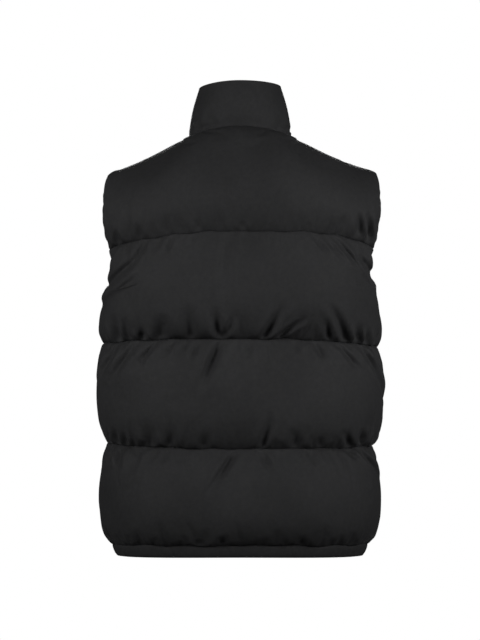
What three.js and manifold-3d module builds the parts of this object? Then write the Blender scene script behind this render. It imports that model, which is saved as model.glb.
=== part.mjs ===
// A padded sleeveless vest with a high stand collar and a centre front zip, in the hollow form it has
// when it is worn. Every wall is padded: its inside is plain and its outside puffs up between seams.
// Units are millimetres. X runs to the wearer's left, Y to the back and Z up. The origin lies midway
// between the high points of the two shoulders, where the wearer's shoulders carry the vest.
import * as THREE from "three";
import { mergeVertices } from "three/addons/utils/BufferGeometryUtils.js";
import Module from "manifold-3d";

// Driving sizes
const SEAM_GAP = 0.3; // clear width between two sewn pieces
const SEAM_WALL = 5; // thickness of the padded wall along a seam
const SHOULDER_WALL = 10; // the same along the shoulder seams
const NECK_WALL = 7; // the same where the collar is sewn on
const LEAST_WALL = 3.5; // no fold makes the wall thinner than this
const EDGE_WALL = 6; // thickness at the armhole and zip edges
const EDGE_ROUNDING = 26; // reach of the rounding towards an open edge
const UNDERARM_TAPER = 90; // away from the top of the side seam the puff grows over this distance
const UNDERARM_SHARE = 0.12; // from this share of it
const SIDE_SEAM_SHARE = 0.55; // how much of the puff is left along the side seams
const SAG = 7; // how far the fullest part of a puff hangs down
const FULL_PUFF = 25; // puff at which that sag is reached
const PUFF_ROUNDNESS = 0.8; // below 1 the puffs are boxier than a sine

const RING_ROUNDNESS = 2.4; // exponent of the superellipse that a body ring follows
const UNDERARM_Z = -240; // lowest point of the armholes
const ARMHOLE_BACK = 58; // the armhole's reach to the back, at the chest seam
const ARMHOLE_FRONT = 62; // and to the front
const ARMHOLE_SHAPE = 2.6; // how square the armhole's lower end is

const SHOULDER_TIPS = {
  left: new THREE.Vector3(204, 2, -68),
  right: new THREE.Vector3(210, 2, -64.5),
};
const SHOULDER_SAGS = { left: 4, right: 5 }; // how far a shoulder seam dips between its tip and the neck
const NECK_POINT = new THREE.Vector3(73, 5, -10);
const NECK_BACK = { y: 66, z: 5 }; // collar seam at the back's middle
const NECK_FRONT = { y: -71, z: -56 }; // and at the zip
const COLLAR_TOP_HALF = 59; // half width inside the collar's top edge
const COLLAR_TOP_SIDE_Z = { left: 73, right: 76 };
const COLLAR_TOP_BACK = { y: 61, z: 78 };
const COLLAR_TOP_FRONT = { y: -64, z: 52 };
const COLLAR_PUFF = 2.5; // how much thicker the collar is in its middle
const COLLAR_TOP_WALL = 4.5;

const RIGHT_CHEST_EXTRA = 5; // how much wider the wearer's right half is at the chest seam
const RIGHT_EXTRA_FROM_Z = -280; // it grows from this height up
const CHEST_Z = -150;

const ZIP_HALF = 9; // from the centre line to the edge of a front panel
const TAPE = { inner: 1.5, bottom: 1, top: 2.2 }; // tape's edge beside the teeth, and its two faces
const CHAIN = { half: 3, bottom: 2.6, top: 5 }; // closed teeth
const CHAIN_LOW_Z = -634;
const SLIDER_Z = 37; // middle of the slider, near the collar's top edge
const BOTTOM_STOP = { drop: 3, length: 5 }; // its middle lies this far below the teeth
const TOP_STOP = { rise: 9.5, inner: 2.2, outer: 4.4, length: 3 }; // height over the slider, and its sides

// Inside of the body: half width and depth to the back and front, at each height
const BODY_LEVELS = [
  { z: -644, half: 189, back: 114, front: 108 },
  { z: -628, half: 193, back: 116, front: 110 },
  { z: -560, half: 196, back: 117, front: 112 },
  { z: -476, half: 198, back: 111, front: 109 },
  { z: -400, half: 200, back: 110, front: 107 },
  { z: -322, half: 205, back: 113, front: 107 },
  { z: -240, half: 201, back: 119, front: 107 },
  { z: -150, half: 215, back: 122, front: 103 },
];

// Heights of the seams round the body, from the lowest: middle of the back, wearer's left and right
// side, and middle of the front
const SEAMS = [
  { name: "hem_edge", back: -639, left: -648, right: -648, front: -646 },
  { name: "hem_seam", back: -621, left: -630, right: -630, front: -628 },
  { name: "hip_seam", back: -478, left: -472, right: -478, front: -476 },
  { name: "waist_seam", back: -313, left: -322, right: -329, front: -325 },
  { name: "chest_seam", back: -153, left: -177, right: -176, front: -168 },
];

// Thickness of each baffle where it is fullest, at the sides and in the middle of back and front
const BAFFLES = [
  { name: "hip", seam: 1, side: 22, back: 31, front: 29 },
  { name: "waist", seam: 2, side: 22, back: 31, front: 29 },
  { name: "chest", seam: 3, side: 23, back: 29, front: 28 },
  { name: "yoke", seam: 4, side: 22, back: 25, front: 24 },
];
const YOKE = 4; // the yoke is above this seam
const SEAM_DROP = 2; // how late a seam drops on its way from the middle to the side
const FLAT_DROP = 3.5; // the same for the right end of the chest seam's back
const CHEST = 3; // and the chest baffle above this one
const YOKE_HEIGHT = 165; // heights and widths of the panels' cloth, over which folds are measured
const BAFFLE_HEIGHT = 150;
const YOKE_SPAN = 225;
const BODY_SPAN = 255;

// How a yoke meets the shoulder and the collar: its slope there in degrees, and how much of its height
// the bend takes, at the shoulder's tip, beside the neck and in the middle
const YOKE_BENDS = [
  { h: 0, backSlope: 22, frontSlope: 28, share: 0.36 },
  { h: 0.6, backSlope: 7, frontSlope: 24, share: 0.42 },
  { h: 1, backSlope: 56, frontSlope: 64, share: 0.34 },
];
const YOKE_RISE = 0.42; // share of a yoke's height over which it rises straight from the chest seam
const NECK_ROUNDING = 0.25; // how widely a yoke's inner rows round the corner at the neck point
const SHOULDER_SPREAD = 11; // how far the yokes widen between the chest seam and the shoulder's tip
const SHOULDER_LEAN = 0.22; // how far outwards the wall at a shoulder seam leans, for each unit up
const NECK_LEAN = { out: 0.8, up: 0.6 }; // direction of the wall at the collar seam
const NECK_TURN = 0.12; // share of a yoke's width over which the one turns into the other
const SEAM_TURN_FROM = 0.72; // share of a yoke's height from which its wall turns to them

// Shares of a panel over which its direction is measured, wider across a yoke to keep it smooth
const FINE_STEP = 0.004;
const YOKE_STEP = 0.06;

// Low uneven swells of the padding: their height, and lengths across the panel
const SWELLS = { height: 0.9, long: 31, short: 17 };

// Folds and gathers of the back. Each starts at a seam and runs up or down from it. "at" is its place,
// measured from the middle of the back towards the wearer's left, and "lean" is how much further left
// its far end lies.
const FOLD_COLUMNS = ["seam", "goes", "at", "lean", "width", "length", "depth"];
const BACK_FOLDS = [
  ["chest_seam", "up", 196, 0, 9, 20, 3],
  ["chest_seam", "up", 155, 0, 9, 14, 2.5],
  ["chest_seam", "up", 112, 2, 9, 14, 2],
  ["chest_seam", "up", 64, 0, 9, 14, 3],
  ["chest_seam", "up", -4, 0, 8, 10, 4],
  ["chest_seam", "up", -139, 0, 8, 12, 2],
  ["chest_seam", "up", -178, 0, 9, 22, 4],
  ["chest_seam", "up", -204, 4, 10, 30, 5],
  ["chest_seam", "down", 184, 44, 12, 60, 5],
  ["chest_seam", "down", 131, 12, 9, 26, 3],
  ["chest_seam", "down", 92, 6, 8, 22, 3],
  ["chest_seam", "down", 62, 5, 8, 14, 2],
  ["chest_seam", "down", 17, 9, 12, 90, 2.2],
  ["chest_seam", "down", -4, 0, 7, 12, 3],
  ["chest_seam", "down", -95, -21, 9, 24, 2.5],
  ["chest_seam", "down", -121, -45, 10, 38, 3],
  ["chest_seam", "down", -186, -40, 11, 44, 6],
  ["waist_seam", "up", 180, 0, 12, 37, 5],
  ["waist_seam", "up", 161, 4, 10, 40, 3],
  ["waist_seam", "up", 139, 0, 9, 18, 5],
  ["waist_seam", "up", 112, 0, 18, 36, 4],
  ["waist_seam", "up", 70, 2, 14, 56, 3.5],
  ["waist_seam", "up", 28, 6, 12, 42, 6],
  ["waist_seam", "up", 22, -12, 9, 38, 4],
  ["waist_seam", "up", -32, -24, 11, 50, 5],
  ["waist_seam", "up", -50, -36, 10, 34, 4.5],
  ["waist_seam", "up", -129, 8, 9, 30, 4.5],
  ["waist_seam", "up", -155, 30, 12, 56, 5],
  ["waist_seam", "up", -171, 1, 9, 26, 5],
  ["waist_seam", "up", -191, 3, 8, 24, 5],
  ["waist_seam", "up", -214, 0, 9, 24, 4],
  ["waist_seam", "down", 186, 22, 12, 52, 3.5],
  ["waist_seam", "down", 150, 34, 12, 50, 3],
  ["waist_seam", "down", 121, 20, 9, 28, 4],
  ["waist_seam", "down", 97, 10, 8, 20, 3],
  ["waist_seam", "down", 79, 4, 8, 16, 2.5],
  ["waist_seam", "down", 60, 9, 8, 26, 3],
  ["waist_seam", "down", 28, 26, 12, 62, 5],
  ["waist_seam", "down", 5, 0, 8, 14, 2.5],
  ["waist_seam", "down", -13, 2, 8, 20, 3],
  ["waist_seam", "down", -79, 0, 9, 14, 2],
  ["waist_seam", "down", -107, -12, 9, 24, 4],
  ["waist_seam", "down", -139, -31, 10, 34, 3.5],
  ["waist_seam", "down", -178, -58, 12, 80, 4],
  ["waist_seam", "down", -204, -12, 10, 40, 3],
  ["hip_seam", "up", 210, 0, 8, 18, 4],
  ["hip_seam", "up", 190, 0, 9, 26, 4],
  ["hip_seam", "up", 172, 0, 8, 22, 4],
  ["hip_seam", "up", 131, 0, 14, 30, 3.5],
  ["hip_seam", "up", 103, 0, 12, 26, 3],
  ["hip_seam", "up", 52, 0, 12, 22, 3],
  ["hip_seam", "up", -32, -12, 10, 46, 4],
  ["hip_seam", "up", -80, 0, 14, 26, 3],
  ["hip_seam", "up", -116, 0, 12, 20, 2.5],
  ["hip_seam", "up", -166, 12, 9, 26, 4.5],
  ["hip_seam", "up", -187, 5, 9, 28, 5.5],
  ["hip_seam", "up", -216, 0, 9, 24, 5],
  ["hip_seam", "down", 208, -10, 8, 32, 3],
  ["hip_seam", "down", 188, -10, 8, 30, 3],
  ["hip_seam", "down", 162, -12, 10, 16, 4],
  ["hip_seam", "down", 145, 0, 9, 12, 4],
  ["hip_seam", "down", 109, 0, 9, 18, 2],
  ["hip_seam", "down", 5, 38, 11, 62, 4],
  ["hip_seam", "down", -33, -11, 9, 36, 3.5],
  ["hip_seam", "down", -105, 0, 9, 20, 2.5],
  ["hip_seam", "down", -162, -12, 9, 16, 5],
  ["hip_seam", "down", -180, -42, 11, 46, 4],
  ["hip_seam", "down", -218, -10, 8, 24, 4],
  ["hem_seam", "up", 200, 10, 9, 16, 4],
  ["hem_seam", "up", 60, 0, 12, 14, 2.5],
  ["hem_seam", "up", 26, 0, 12, 18, 3],
  ["hem_seam", "up", -90, 0, 12, 16, 2.5],
  ["hem_seam", "up", -180, -33, 9, 16, 4],
  ["hem_seam", "up", -204, -14, 9, 24, 4],
].map(rowWithNames);
const FRONT_FOLDS_PER_SEAM = 6; // on each front, above and below each quilted seam
const FRONT_FOLD_START = 22; // from the zip to the first one's place
const FRONT_FOLD_STEP = 36;
const FRONT_FOLD_WIDTH = 11;
const FRONT_FOLD_LENGTHS = [16, 54]; // shortest and longest
const FRONT_FOLD_DEPTHS = [2.4, 5.2]; // shallowest and deepest
const NARROWEST_FOLD = 18; // the panels' columns can't carry anything narrower

// Mesh density
const SHOULDER_COLUMNS = 16;
const NECK_COLUMNS = 10;
const COLUMNS = SHOULDER_COLUMNS + NECK_COLUMNS; // from a side edge to the middle
const ROWS = [0, 0.045, 0.11, 0.2, 0.33, 0.5, 0.67, 0.8, 0.89, 0.955, 1];
const UNDERARM_ROWS = [0, 0.05, 0.12, 0.24, 0.38, 0.5, 0.557, 0.575, 0.6, 0.66, 0.76, 0.87, 0.95, 1];
const INSIDE_ROWS = 4;
const INSIDE_COLUMN_STEP = 2;

const clamp = THREE.MathUtils.clamp;
const lerp = THREE.MathUtils.lerp;
const smoothstep = THREE.MathUtils.smoothstep;

function rowWithNames(row) {
  return Object.fromEntries(FOLD_COLUMNS.map((column, i) => [column, row[i]]));
}

// Value of one column of BODY_LEVELS at a height, on a smooth curve through the rows
function levelValue(column, z) {
  const last = BODY_LEVELS.length - 1;
  let i = 0;
  while (i < last - 1 && z > BODY_LEVELS[i + 1].z) i += 1;
  const row = (k) => BODY_LEVELS[clamp(k, 0, last)];
  const slope = (p, q) => (q[column] - p[column]) / (q.z - p.z);
  const from = row(i);
  const to = row(i + 1);
  const t = clamp((z - from.z) / (to.z - from.z), 0, 1);
  const span = to.z - from.z;
  const startSlope = slope(row(i - 1), to) * span;
  const endSlope = slope(from, row(i + 2)) * span;
  const t2 = t * t;
  const t3 = t2 * t;
  const ends = (1 - 3 * t2 + 2 * t3) * from[column] + (3 * t2 - 2 * t3) * to[column];
  return ends + (t3 - 2 * t2 + t) * startSlope + (t3 - t2) * endSlope;
}

function bodyHalf(side, z) {
  const extra = side < 0 ? RIGHT_CHEST_EXTRA * smoothstep(z, RIGHT_EXTRA_FROM_Z, CHEST_Z) : 0;
  return levelValue("half", z) + extra;
}

// Point on a quarter of a body ring, h = 0 at its side edge and h = 1 at the middle, in equal steps of
// length. startY is how far from the side the edge lies, and endX how far from the middle it stops.
function quarterPoint(half, depth, startY, endX, h) {
  const power = 2 / RING_ROUNDNESS;
  const from = Math.asin((startY / depth) ** (1 / power));
  const to = Math.acos((endX / half) ** (1 / power));
  const steps = 48;
  const points = [];
  let length = 0;
  for (let i = 0; i <= steps; i += 1) {
    const angle = lerp(from, to, i / steps);
    const x = half * Math.cos(angle) ** power;
    const y = depth * Math.sin(angle) ** power;
    if (i > 0) length += Math.hypot(x - points[i - 1].x, y - points[i - 1].y);
    points.push({ x, y, length });
  }
  const wanted = clamp(h, 0, 1) * length;
  let i = 1;
  while (i < steps && points[i].length < wanted) i += 1;
  const t = (wanted - points[i - 1].length) / (points[i].length - points[i - 1].length);
  return { x: lerp(points[i - 1].x, points[i].x, t), y: lerp(points[i - 1].y, points[i].y, t), length };
}

// Height of a seam round the body. side is +1 on the wearer's left, face is +1 on the back.
function seamHeight(index, side, face, h) {
  const seam = SEAMS[index];
  const middle = face > 0 ? seam.back : seam.front;
  const end = side > 0 ? seam.left : seam.right;
  const flatEnded = index === YOKE && side < 0 && face > 0;
  return middle + (end - middle) * (1 - h) ** (flatEnded ? FLAT_DROP : SEAM_DROP);
}

// How far to the back or front of the side line the armhole's edge lies at a height
function armholeReach(face, side, z) {
  if (z <= UNDERARM_Z) return SEAM_GAP / 2;
  const chest = seamHeight(YOKE, side, face, 0);
  const down = clamp((chest - z) / (chest - UNDERARM_Z), 0, 1);
  const reach = face > 0 ? ARMHOLE_BACK : ARMHOLE_FRONT;
  return Math.max(SEAM_GAP / 2, reach * Math.sqrt(1 - down ** ARMHOLE_SHAPE));
}

// Inside of the wall between two seams of the body
function bodyPoint(side, face, seam, h, s) {
  const z = lerp(seamHeight(seam, side, face, h), seamHeight(seam + 1, side, face, h), s);
  const edgeZ = lerp(seamHeight(seam, side, face, 0), seamHeight(seam + 1, side, face, 0), s);
  const depth = levelValue(face > 0 ? "back" : "front", z);
  const startY = armholeReach(face, side, edgeZ);
  const ring = quarterPoint(bodyHalf(side, z), depth, startY, face > 0 ? 0 : ZIP_HALF, h);
  return new THREE.Vector3(side * ring.x, face * ring.y, z);
}

// Upper border of a yoke: along the shoulder seam from its tip, then along the collar seam
function yokeTop(side, face, h) {
  const neckShare = SHOULDER_COLUMNS / COLUMNS;
  if (h <= neckShare) {
    const own = side > 0 ? "left" : "right";
    const point = SHOULDER_TIPS[own].clone().lerp(NECK_POINT, h / neckShare);
    point.y += face * (SEAM_GAP / 2);
    point.z -= SHOULDER_SAGS[own] * Math.sin((Math.PI * h) / neckShare);
    point.x *= side;
    return point;
  }
  return collarSeamPoint(side, face, (h - neckShare) / (1 - neckShare));
}

// Inside of the collar seam, from the neck point (around = 0) to the middle of the back or the zip
function collarSeamPoint(side, face, around) {
  const end = face > 0 ? NECK_BACK : NECK_FRONT;
  const lastAngle = face > 0 ? Math.PI / 2 : Math.acos(ZIP_HALF / NECK_POINT.x);
  const angle = around * lastAngle;
  const drop = Math.sin(angle) ** (face > 0 ? 3 : 1.25);
  const x = NECK_POINT.x * Math.cos(angle);
  const y = lerp(NECK_POINT.y, end.y, Math.sin(angle));
  const z = lerp(NECK_POINT.z, end.z, drop);
  return new THREE.Vector3(side * x, y, z);
}

// Inside of a yoke: each column rises from the chest seam and bends over to the shoulder or the neck
function yokePoint(side, face, h, s) {
  const bottom = bodyPoint(side, face, CHEST, h, 1);
  const top = yokeTop(side, face, h);
  const soft = softTop(side, face, h);
  const reach = bottom.distanceTo(soft);
  const bend = yokeBend(face, h);
  const above = bottom.clone().add(new THREE.Vector3(0, 0, YOKE_RISE * reach));
  above.x += side * SHOULDER_SPREAD * (1 - h) ** 3;
  const behind = new THREE.Vector3(0, face * Math.cos(bend.slope), -Math.sin(bend.slope));
  behind.multiplyScalar(bend.share * reach).add(soft);
  behind.x += side * SHOULDER_SPREAD * 0.4 * (1 - h) ** 3;
  const out = new THREE.Vector3();
  const weights = [(1 - s) ** 3, 3 * s * (1 - s) ** 2, 3 * s * s * (1 - s), s ** 3];
  [bottom, above, behind, top].forEach((point, i) => out.addScaledVector(point, weights[i]));
  return out;
}

// The yoke's upper border with its corner at the neck point rounded off
function softTop(side, face, h) {
  const neckShare = SHOULDER_COLUMNS / COLUMNS;
  const reach = NECK_ROUNDING * smoothstep(h, 0, neckShare) * (1 - smoothstep(h, neckShare, 1));
  const steps = [-1, -0.5, 0, 0.5, 1];
  const sum = new THREE.Vector3();
  steps.forEach((step) => sum.add(yokeTop(side, face, h + step * reach)));
  return sum.divideScalar(steps.length);
}

function yokeBend(face, h) {
  const [tip, neck, middle] = YOKE_BENDS;
  const share = h < neck.h ? smoothstep(h, tip.h, neck.h) : smoothstep(h, neck.h, middle.h);
  const [from, to] = h < neck.h ? [tip, neck] : [neck, middle];
  const key = face > 0 ? "backSlope" : "frontSlope";
  const slope = lerp(from[key], to[key], share);
  return { slope: THREE.MathUtils.degToRad(slope), share: lerp(from.share, to.share, share) };
}

function insidePoint(side, face, seam, h, s) {
  return seam === YOKE ? yokePoint(side, face, h, s) : bodyPoint(side, face, seam, h, s);
}

// Direction in which the wall's thickness is measured. Along a shared seam it is the same for both
// pieces, so that their edges stay parallel.
function outward(side, face, seam, h, s) {
  const step = FINE_STEP;
  const stride = seam === YOKE ? YOKE_STEP : step;
  const across = insidePoint(side, face, seam, Math.min(h + stride, 1), s);
  across.sub(insidePoint(side, face, seam, Math.max(h - stride, 0), s));
  const low = neighbourRow(seam, s - step);
  const high = neighbourRow(seam, s + step);
  const up = insidePoint(side, face, high.seam, h, high.s).sub(insidePoint(side, face, low.seam, h, low.s));
  const normal = across.cross(up).multiplyScalar(side * face).normalize();
  if (h === 1 && face > 0) normal.x = 0;
  if (h === 0 && Math.abs(insidePoint(side, face, seam, 0, s).y) < SEAM_GAP) normal.y = 0;
  if (seam === YOKE) {
    const neckShare = SHOULDER_COLUMNS / COLUMNS;
    const shoulder = new THREE.Vector3(SHOULDER_LEAN * side, 0, 1).normalize();
    const neck = collarSeamDirection(side, face, clamp((h - neckShare) / (1 - neckShare), 0, 1));
    const seamDirection = shoulder.lerp(neck, smoothstep(h, neckShare - NECK_TURN, neckShare));
    normal.lerp(seamDirection, smoothstep(s, SEAM_TURN_FROM, 1));
  }
  return normal.normalize();
}

// A row just past a seam belongs to the next baffle
function neighbourRow(seam, s) {
  if (s < 0 && seam > 0) return { seam: seam - 1, s: 1 + s };
  if (s > 1 && seam < YOKE) return { seam: seam + 1, s: s - 1 };
  return { seam, s: clamp(s, 0, 1) };
}

function collarSeamDirection(side, face, around) {
  const angle = around * (Math.PI / 2);
  const flat = new THREE.Vector3(side * Math.cos(angle), face * Math.sin(angle), 0);
  return flat.multiplyScalar(NECK_LEAN.out).add(new THREE.Vector3(0, 0, NECK_LEAN.up)).normalize();
}

// A repeatable uneven number between 0 and 1
function uneven(seed) {
  const value = Math.sin(seed * 12.9898) * 43758.5453;
  return value - Math.floor(value);
}

// Gathers of the fronts and of the sides, alike to those of the back
function frontFolds(side) {
  const folds = [];
  SEAMS.slice(1).forEach((seam, index) => {
    for (const goes of seam.name === "hem_seam" ? ["up"] : ["up", "down"]) {
      for (let i = 0; i < FRONT_FOLDS_PER_SEAM; i += 1) {
        const seed = 97 * index + 31 * i + (goes === "up" ? 7 : 3) + (side > 0 ? 0 : 400);
        const at = FRONT_FOLD_START + (i + 0.15 + 0.7 * uneven(seed)) * FRONT_FOLD_STEP;
        const length = lerp(...FRONT_FOLD_LENGTHS, uneven(seed + 1) ** 2);
        const lean = (uneven(seed + 2) - 0.35) * length;
        const depth = lerp(...FRONT_FOLD_DEPTHS, uneven(seed + 3));
        const width = FRONT_FOLD_WIDTH;
        folds.push({ seam: seam.name, goes, at: side * at, lean: side * lean, width, length, depth });
      }
    }
  });
  return folds;
}

const FRONT_FOLDS = { 1: frontFolds(1), "-1": frontFolds(-1) };

// Depth that the folds take off the wall at a place. along is the distance from the middle, positive on
// the wearer's left, and away is the distance from the seam in the baffle's own height.
function foldDepth(folds, seamName, goes, along, away) {
  let depth = 0;
  for (const fold of folds) {
    if (fold.seam !== seamName || fold.goes !== goes || away > fold.length * 1.3) continue;
    const width = Math.max(fold.width, NARROWEST_FOLD) / 2;
    const middle = fold.at + fold.lean * Math.min(away / fold.length, 1);
    const offset = Math.abs(along - middle) / width;
    const trough = Math.exp(-offset * offset) - 0.35 * Math.exp(-((offset - 1.9) ** 2));
    const fade = smoothstep(away, 0, 7) * (1 - smoothstep(away, 0.45 * fold.length, 1.3 * fold.length));
    depth += fold.depth * trough * fade;
  }
  return depth;
}

// Thickness of the padded wall
function thickness(side, face, baffle, h, s) {
  const { seam } = baffle;
  const inside = insidePoint(side, face, seam, h, s);
  const isYoke = seam === YOKE;
  const span = isYoke ? YOKE_SPAN : BODY_SPAN - Math.abs(insidePoint(side, face, seam, 0, s).y);
  const along = side * (1 - h) * span;
  const height = isYoke ? YOKE_HEIGHT : BAFFLE_HEIGHT;
  const fullest = lerp(baffle.side, face > 0 ? baffle.back : baffle.front, smoothstep(h, 0, 0.7));
  const topWall = isYoke ? lerp(SHOULDER_WALL, NECK_WALL, smoothstep(h, 0.5, 0.62)) : SEAM_WALL;
  const wall = lerp(SEAM_WALL, topWall, s);
  let puff = (fullest - wall) * Math.sin(Math.PI * s) ** PUFF_ROUNDNESS;
  const long = Math.sin(along / SWELLS.long + seam * 2.1) * Math.sin(s * 5 + seam);
  const short = Math.sin(along / SWELLS.short + seam);
  puff += SWELLS.height * (long + short) * Math.sin(Math.PI * s);
  const folds = face > 0 ? BACK_FOLDS : FRONT_FOLDS[side];
  puff -= foldDepth(folds, SEAMS[seam].name, "up", along, s * height);
  if (!isYoke) puff -= foldDepth(folds, SEAMS[seam + 1].name, "down", along, (1 - s) * height);
  const rounding = (distance) => Math.sqrt(1 - (1 - clamp(distance / EDGE_ROUNDING, 0, 1)) ** 2);
  const edgePoint = insidePoint(side, face, seam, 0, s);
  const below = Math.abs(edgePoint.y) > SEAM_GAP ? 0 : Math.max(0, UNDERARM_Z - edgePoint.z);
  puff *= lerp(below > 0 ? SIDE_SEAM_SHARE : 0, 1, rounding(h * span));
  const inward = smoothstep(h * span + Math.abs(edgePoint.y), 0, UNDERARM_TAPER);
  const downward = smoothstep(below, 0, UNDERARM_TAPER);
  if (seam === CHEST) puff *= lerp(UNDERARM_SHARE, 1, 1 - (1 - inward) * (1 - downward));
  if (face < 0) puff *= rounding(Math.abs(inside.x) - ZIP_HALF);
  const edge = lerp(EDGE_WALL, wall, rounding(h * span + below));
  return Math.max(LEAST_WALL, edge + puff);
}

// The fuller a puff is, the further it hangs down
function hang(thick) {
  return SAG * (clamp(thick - SEAM_WALL, 0, 40) / FULL_PUFF) ** 1.2;
}

function outsidePoint(inside, direction, thick) {
  const point = inside.clone().addScaledVector(direction, thick);
  point.z -= hang(thick);
  return point;
}

// A closed wall from two grids of points, grid[row][column], seen from outside with columns to the
// right and rows upwards. The inside grid may be coarser, and the four borders join the two.
function wallGeometry(outside, inside) {
  const positions = [];
  const indices = [];
  const number = (grid) =>
    grid.map((row) => row.map((point) => positions.push(point.x, point.y, point.z) / 3 - 1));
  const out = number(outside);
  const inn = number(inside);
  const face = (grid, flipped) => {
    for (let r = 0; r + 1 < grid.length; r += 1) {
      for (let c = 0; c + 1 < grid[r].length; c += 1) {
        const [a, b, d, e] = [grid[r][c], grid[r][c + 1], grid[r + 1][c], grid[r + 1][c + 1]];
        if (flipped) indices.push(a, e, b, a, d, e);
        else indices.push(a, b, e, a, e, d);
      }
    }
  };
  face(out, false);
  face(inn, true);
  const column = (grid, c) => grid.map((row) => row.at(c));
  joinBorders(indices, column(out, 0), column(inn, 0));
  joinBorders(indices, column(inn, -1), column(out, -1));
  joinBorders(indices, inn[0], out[0]);
  joinBorders(indices, out.at(-1), inn.at(-1));
  const geometry = new THREE.BufferGeometry();
  geometry.setAttribute("position", new THREE.Float32BufferAttribute(positions, 3));
  geometry.setIndex(indices);
  geometry.computeVertexNormals();
  return geometry;
}

// Triangles between two borders that run the same way but may have different numbers of points. Where
// both have a point at the same place, the finer border goes first, so that the two sides of a seam are
// divided alike.
function joinBorders(indices, first, second) {
  let i = 0;
  let j = 0;
  while (i + 1 < first.length || j + 1 < second.length) {
    const lead = (i + 1) / (first.length - 1) - (j + 1) / (second.length - 1);
    const firstNext = Math.abs(lead) < 1e-9 ? first.length >= second.length : lead < 0;
    if (j + 1 >= second.length || (i + 1 < first.length && firstNext)) {
      indices.push(first[i], first[i + 1], second[j]);
      i += 1;
    } else {
      indices.push(first[i], second[j + 1], second[j]);
      j += 1;
    }
  }
}

const shell = new THREE.MeshStandardMaterial({ color: 0x1c1c1d, roughness: 0.62, metalness: 0 });
const zipCloth = new THREE.MeshStandardMaterial({ color: 0x121213, roughness: 0.85, metalness: 0 });
const zipTeeth = new THREE.MeshStandardMaterial({ color: 0x0d0d0e, roughness: 0.4, metalness: 0 });
const zipMetal = new THREE.MeshStandardMaterial({ color: 0x202022, roughness: 0.35, metalness: 0.8 });

const vest = new THREE.Group();

function addPiece(name, geometry, material, parent = vest) {
  const mesh = new THREE.Mesh(geometry, material);
  mesh.name = name;
  parent.add(mesh);
  return mesh;
}

// Moves a row's share of the height off the seams, so that two baffles stay SEAM_GAP apart
function clearOfSeams(s, height) {
  return lerp(SEAM_GAP / 2 / height, 1 - SEAM_GAP / 2 / height, s);
}

// Places across a panel as [side, h] from left to right when seen from outside
function panelColumns(face, side, count) {
  const places = [];
  const half = (sign) => Array.from({ length: count + 1 }, (_, i) => [sign, i / count]);
  if (face > 0) places.push(...half(1), ...half(-1).reverse().slice(1));
  else if (side < 0) places.push(...half(-1));
  else places.push(...half(1).reverse());
  return places;
}

// One baffle of the back or of a front
function baffleGeometry(face, side, baffle) {
  const { seam } = baffle;
  const height = seam === YOKE ? YOKE_HEIGHT : BAFFLE_HEIGHT;
  const rows = seam === CHEST ? UNDERARM_ROWS : ROWS;
  const outside = rows.map((row) =>
    panelColumns(face, side, COLUMNS).map(([sign, h]) => {
      const s = clearOfSeams(row, height);
      const thick = thickness(sign, face, baffle, h, s);
      return outsidePoint(insidePoint(sign, face, seam, h, s), outward(sign, face, seam, h, s), thick);
    }),
  );
  const innerRow = (_, i) => i !== 1 && i !== UNDERARM_ROWS.length - 2;
  const insideRows = seam === CHEST ? UNDERARM_ROWS.filter(innerRow) : insideShares();
  const inside = insideRows.map((row) =>
    panelColumns(face, side, COLUMNS / INSIDE_COLUMN_STEP).map(([sign, h]) =>
      insidePoint(sign, face, seam, h, clearOfSeams(row, height)),
    ),
  );
  return wallGeometry(outside, inside);
}

function insideShares() {
  return Array.from({ length: INSIDE_ROWS + 1 }, (_, i) => i / INSIDE_ROWS);
}

for (const baffle of BAFFLES) {
  addPiece(`back_${baffle.name}`, baffleGeometry(1, 0, baffle), shell);
  addPiece(`front_left_${baffle.name}`, baffleGeometry(-1, 1, baffle), shell);
  addPiece(`front_right_${baffle.name}`, baffleGeometry(-1, -1, baffle), shell);
}

// The hem's band, sewn under the lowest baffle. Its lower edge is a rounded fold.
const HEM_BAND_HEIGHT = 18;
const HEM_BAND_ROWS = [
  { share: 0, thick: 2.2 },
  { share: 0.12, thick: 4.2 },
  { share: 0.5, thick: 5.2 },
  { share: 1, thick: 4.6 },
];

function hemBandGeometry(face, side) {
  const height = HEM_BAND_HEIGHT;
  const places = panelColumns(face, side, COLUMNS / INSIDE_COLUMN_STEP);
  const outside = HEM_BAND_ROWS.map(({ share, thick }) =>
    places.map(([sign, h]) => {
      const s = clearOfSeams(share, height);
      return insidePoint(sign, face, 0, h, s).addScaledVector(outward(sign, face, 0, h, s), thick);
    }),
  );
  const inside = [0, 1].map((share) =>
    places.map(([sign, h]) => insidePoint(sign, face, 0, h, clearOfSeams(share, height))),
  );
  return wallGeometry(outside, inside);
}

addPiece("hem_band_back", hemBandGeometry(1, 0), shell);
addPiece("hem_band_front_left", hemBandGeometry(-1, 1), shell);
addPiece("hem_band_front_right", hemBandGeometry(-1, -1), shell);

// The collar: one padded stand from zip to zip. around = 0 is its neck point.
const COLLAR_ROWS = [0, 0.08, 0.2, 0.42, 0.66, 0.84, 0.94, 1];

function collarInside(side, face, around, s) {
  const bottom = collarSeamPoint(side, face, around);
  const end = face > 0 ? COLLAR_TOP_BACK : COLLAR_TOP_FRONT;
  const lastAngle = face > 0 ? Math.PI / 2 : Math.acos(ZIP_HALF / COLLAR_TOP_HALF);
  const angle = around * lastAngle;
  const top = new THREE.Vector3(
    side * COLLAR_TOP_HALF * Math.cos(angle),
    end.y * Math.sin(angle),
    lerp(side > 0 ? COLLAR_TOP_SIDE_Z.left : COLLAR_TOP_SIDE_Z.right, end.z, Math.sin(angle) ** 2),
  );
  const lift = new THREE.Vector3(0, 0, SEAM_GAP / 2);
  return bottom.add(lift).lerp(top, s);
}

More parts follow.
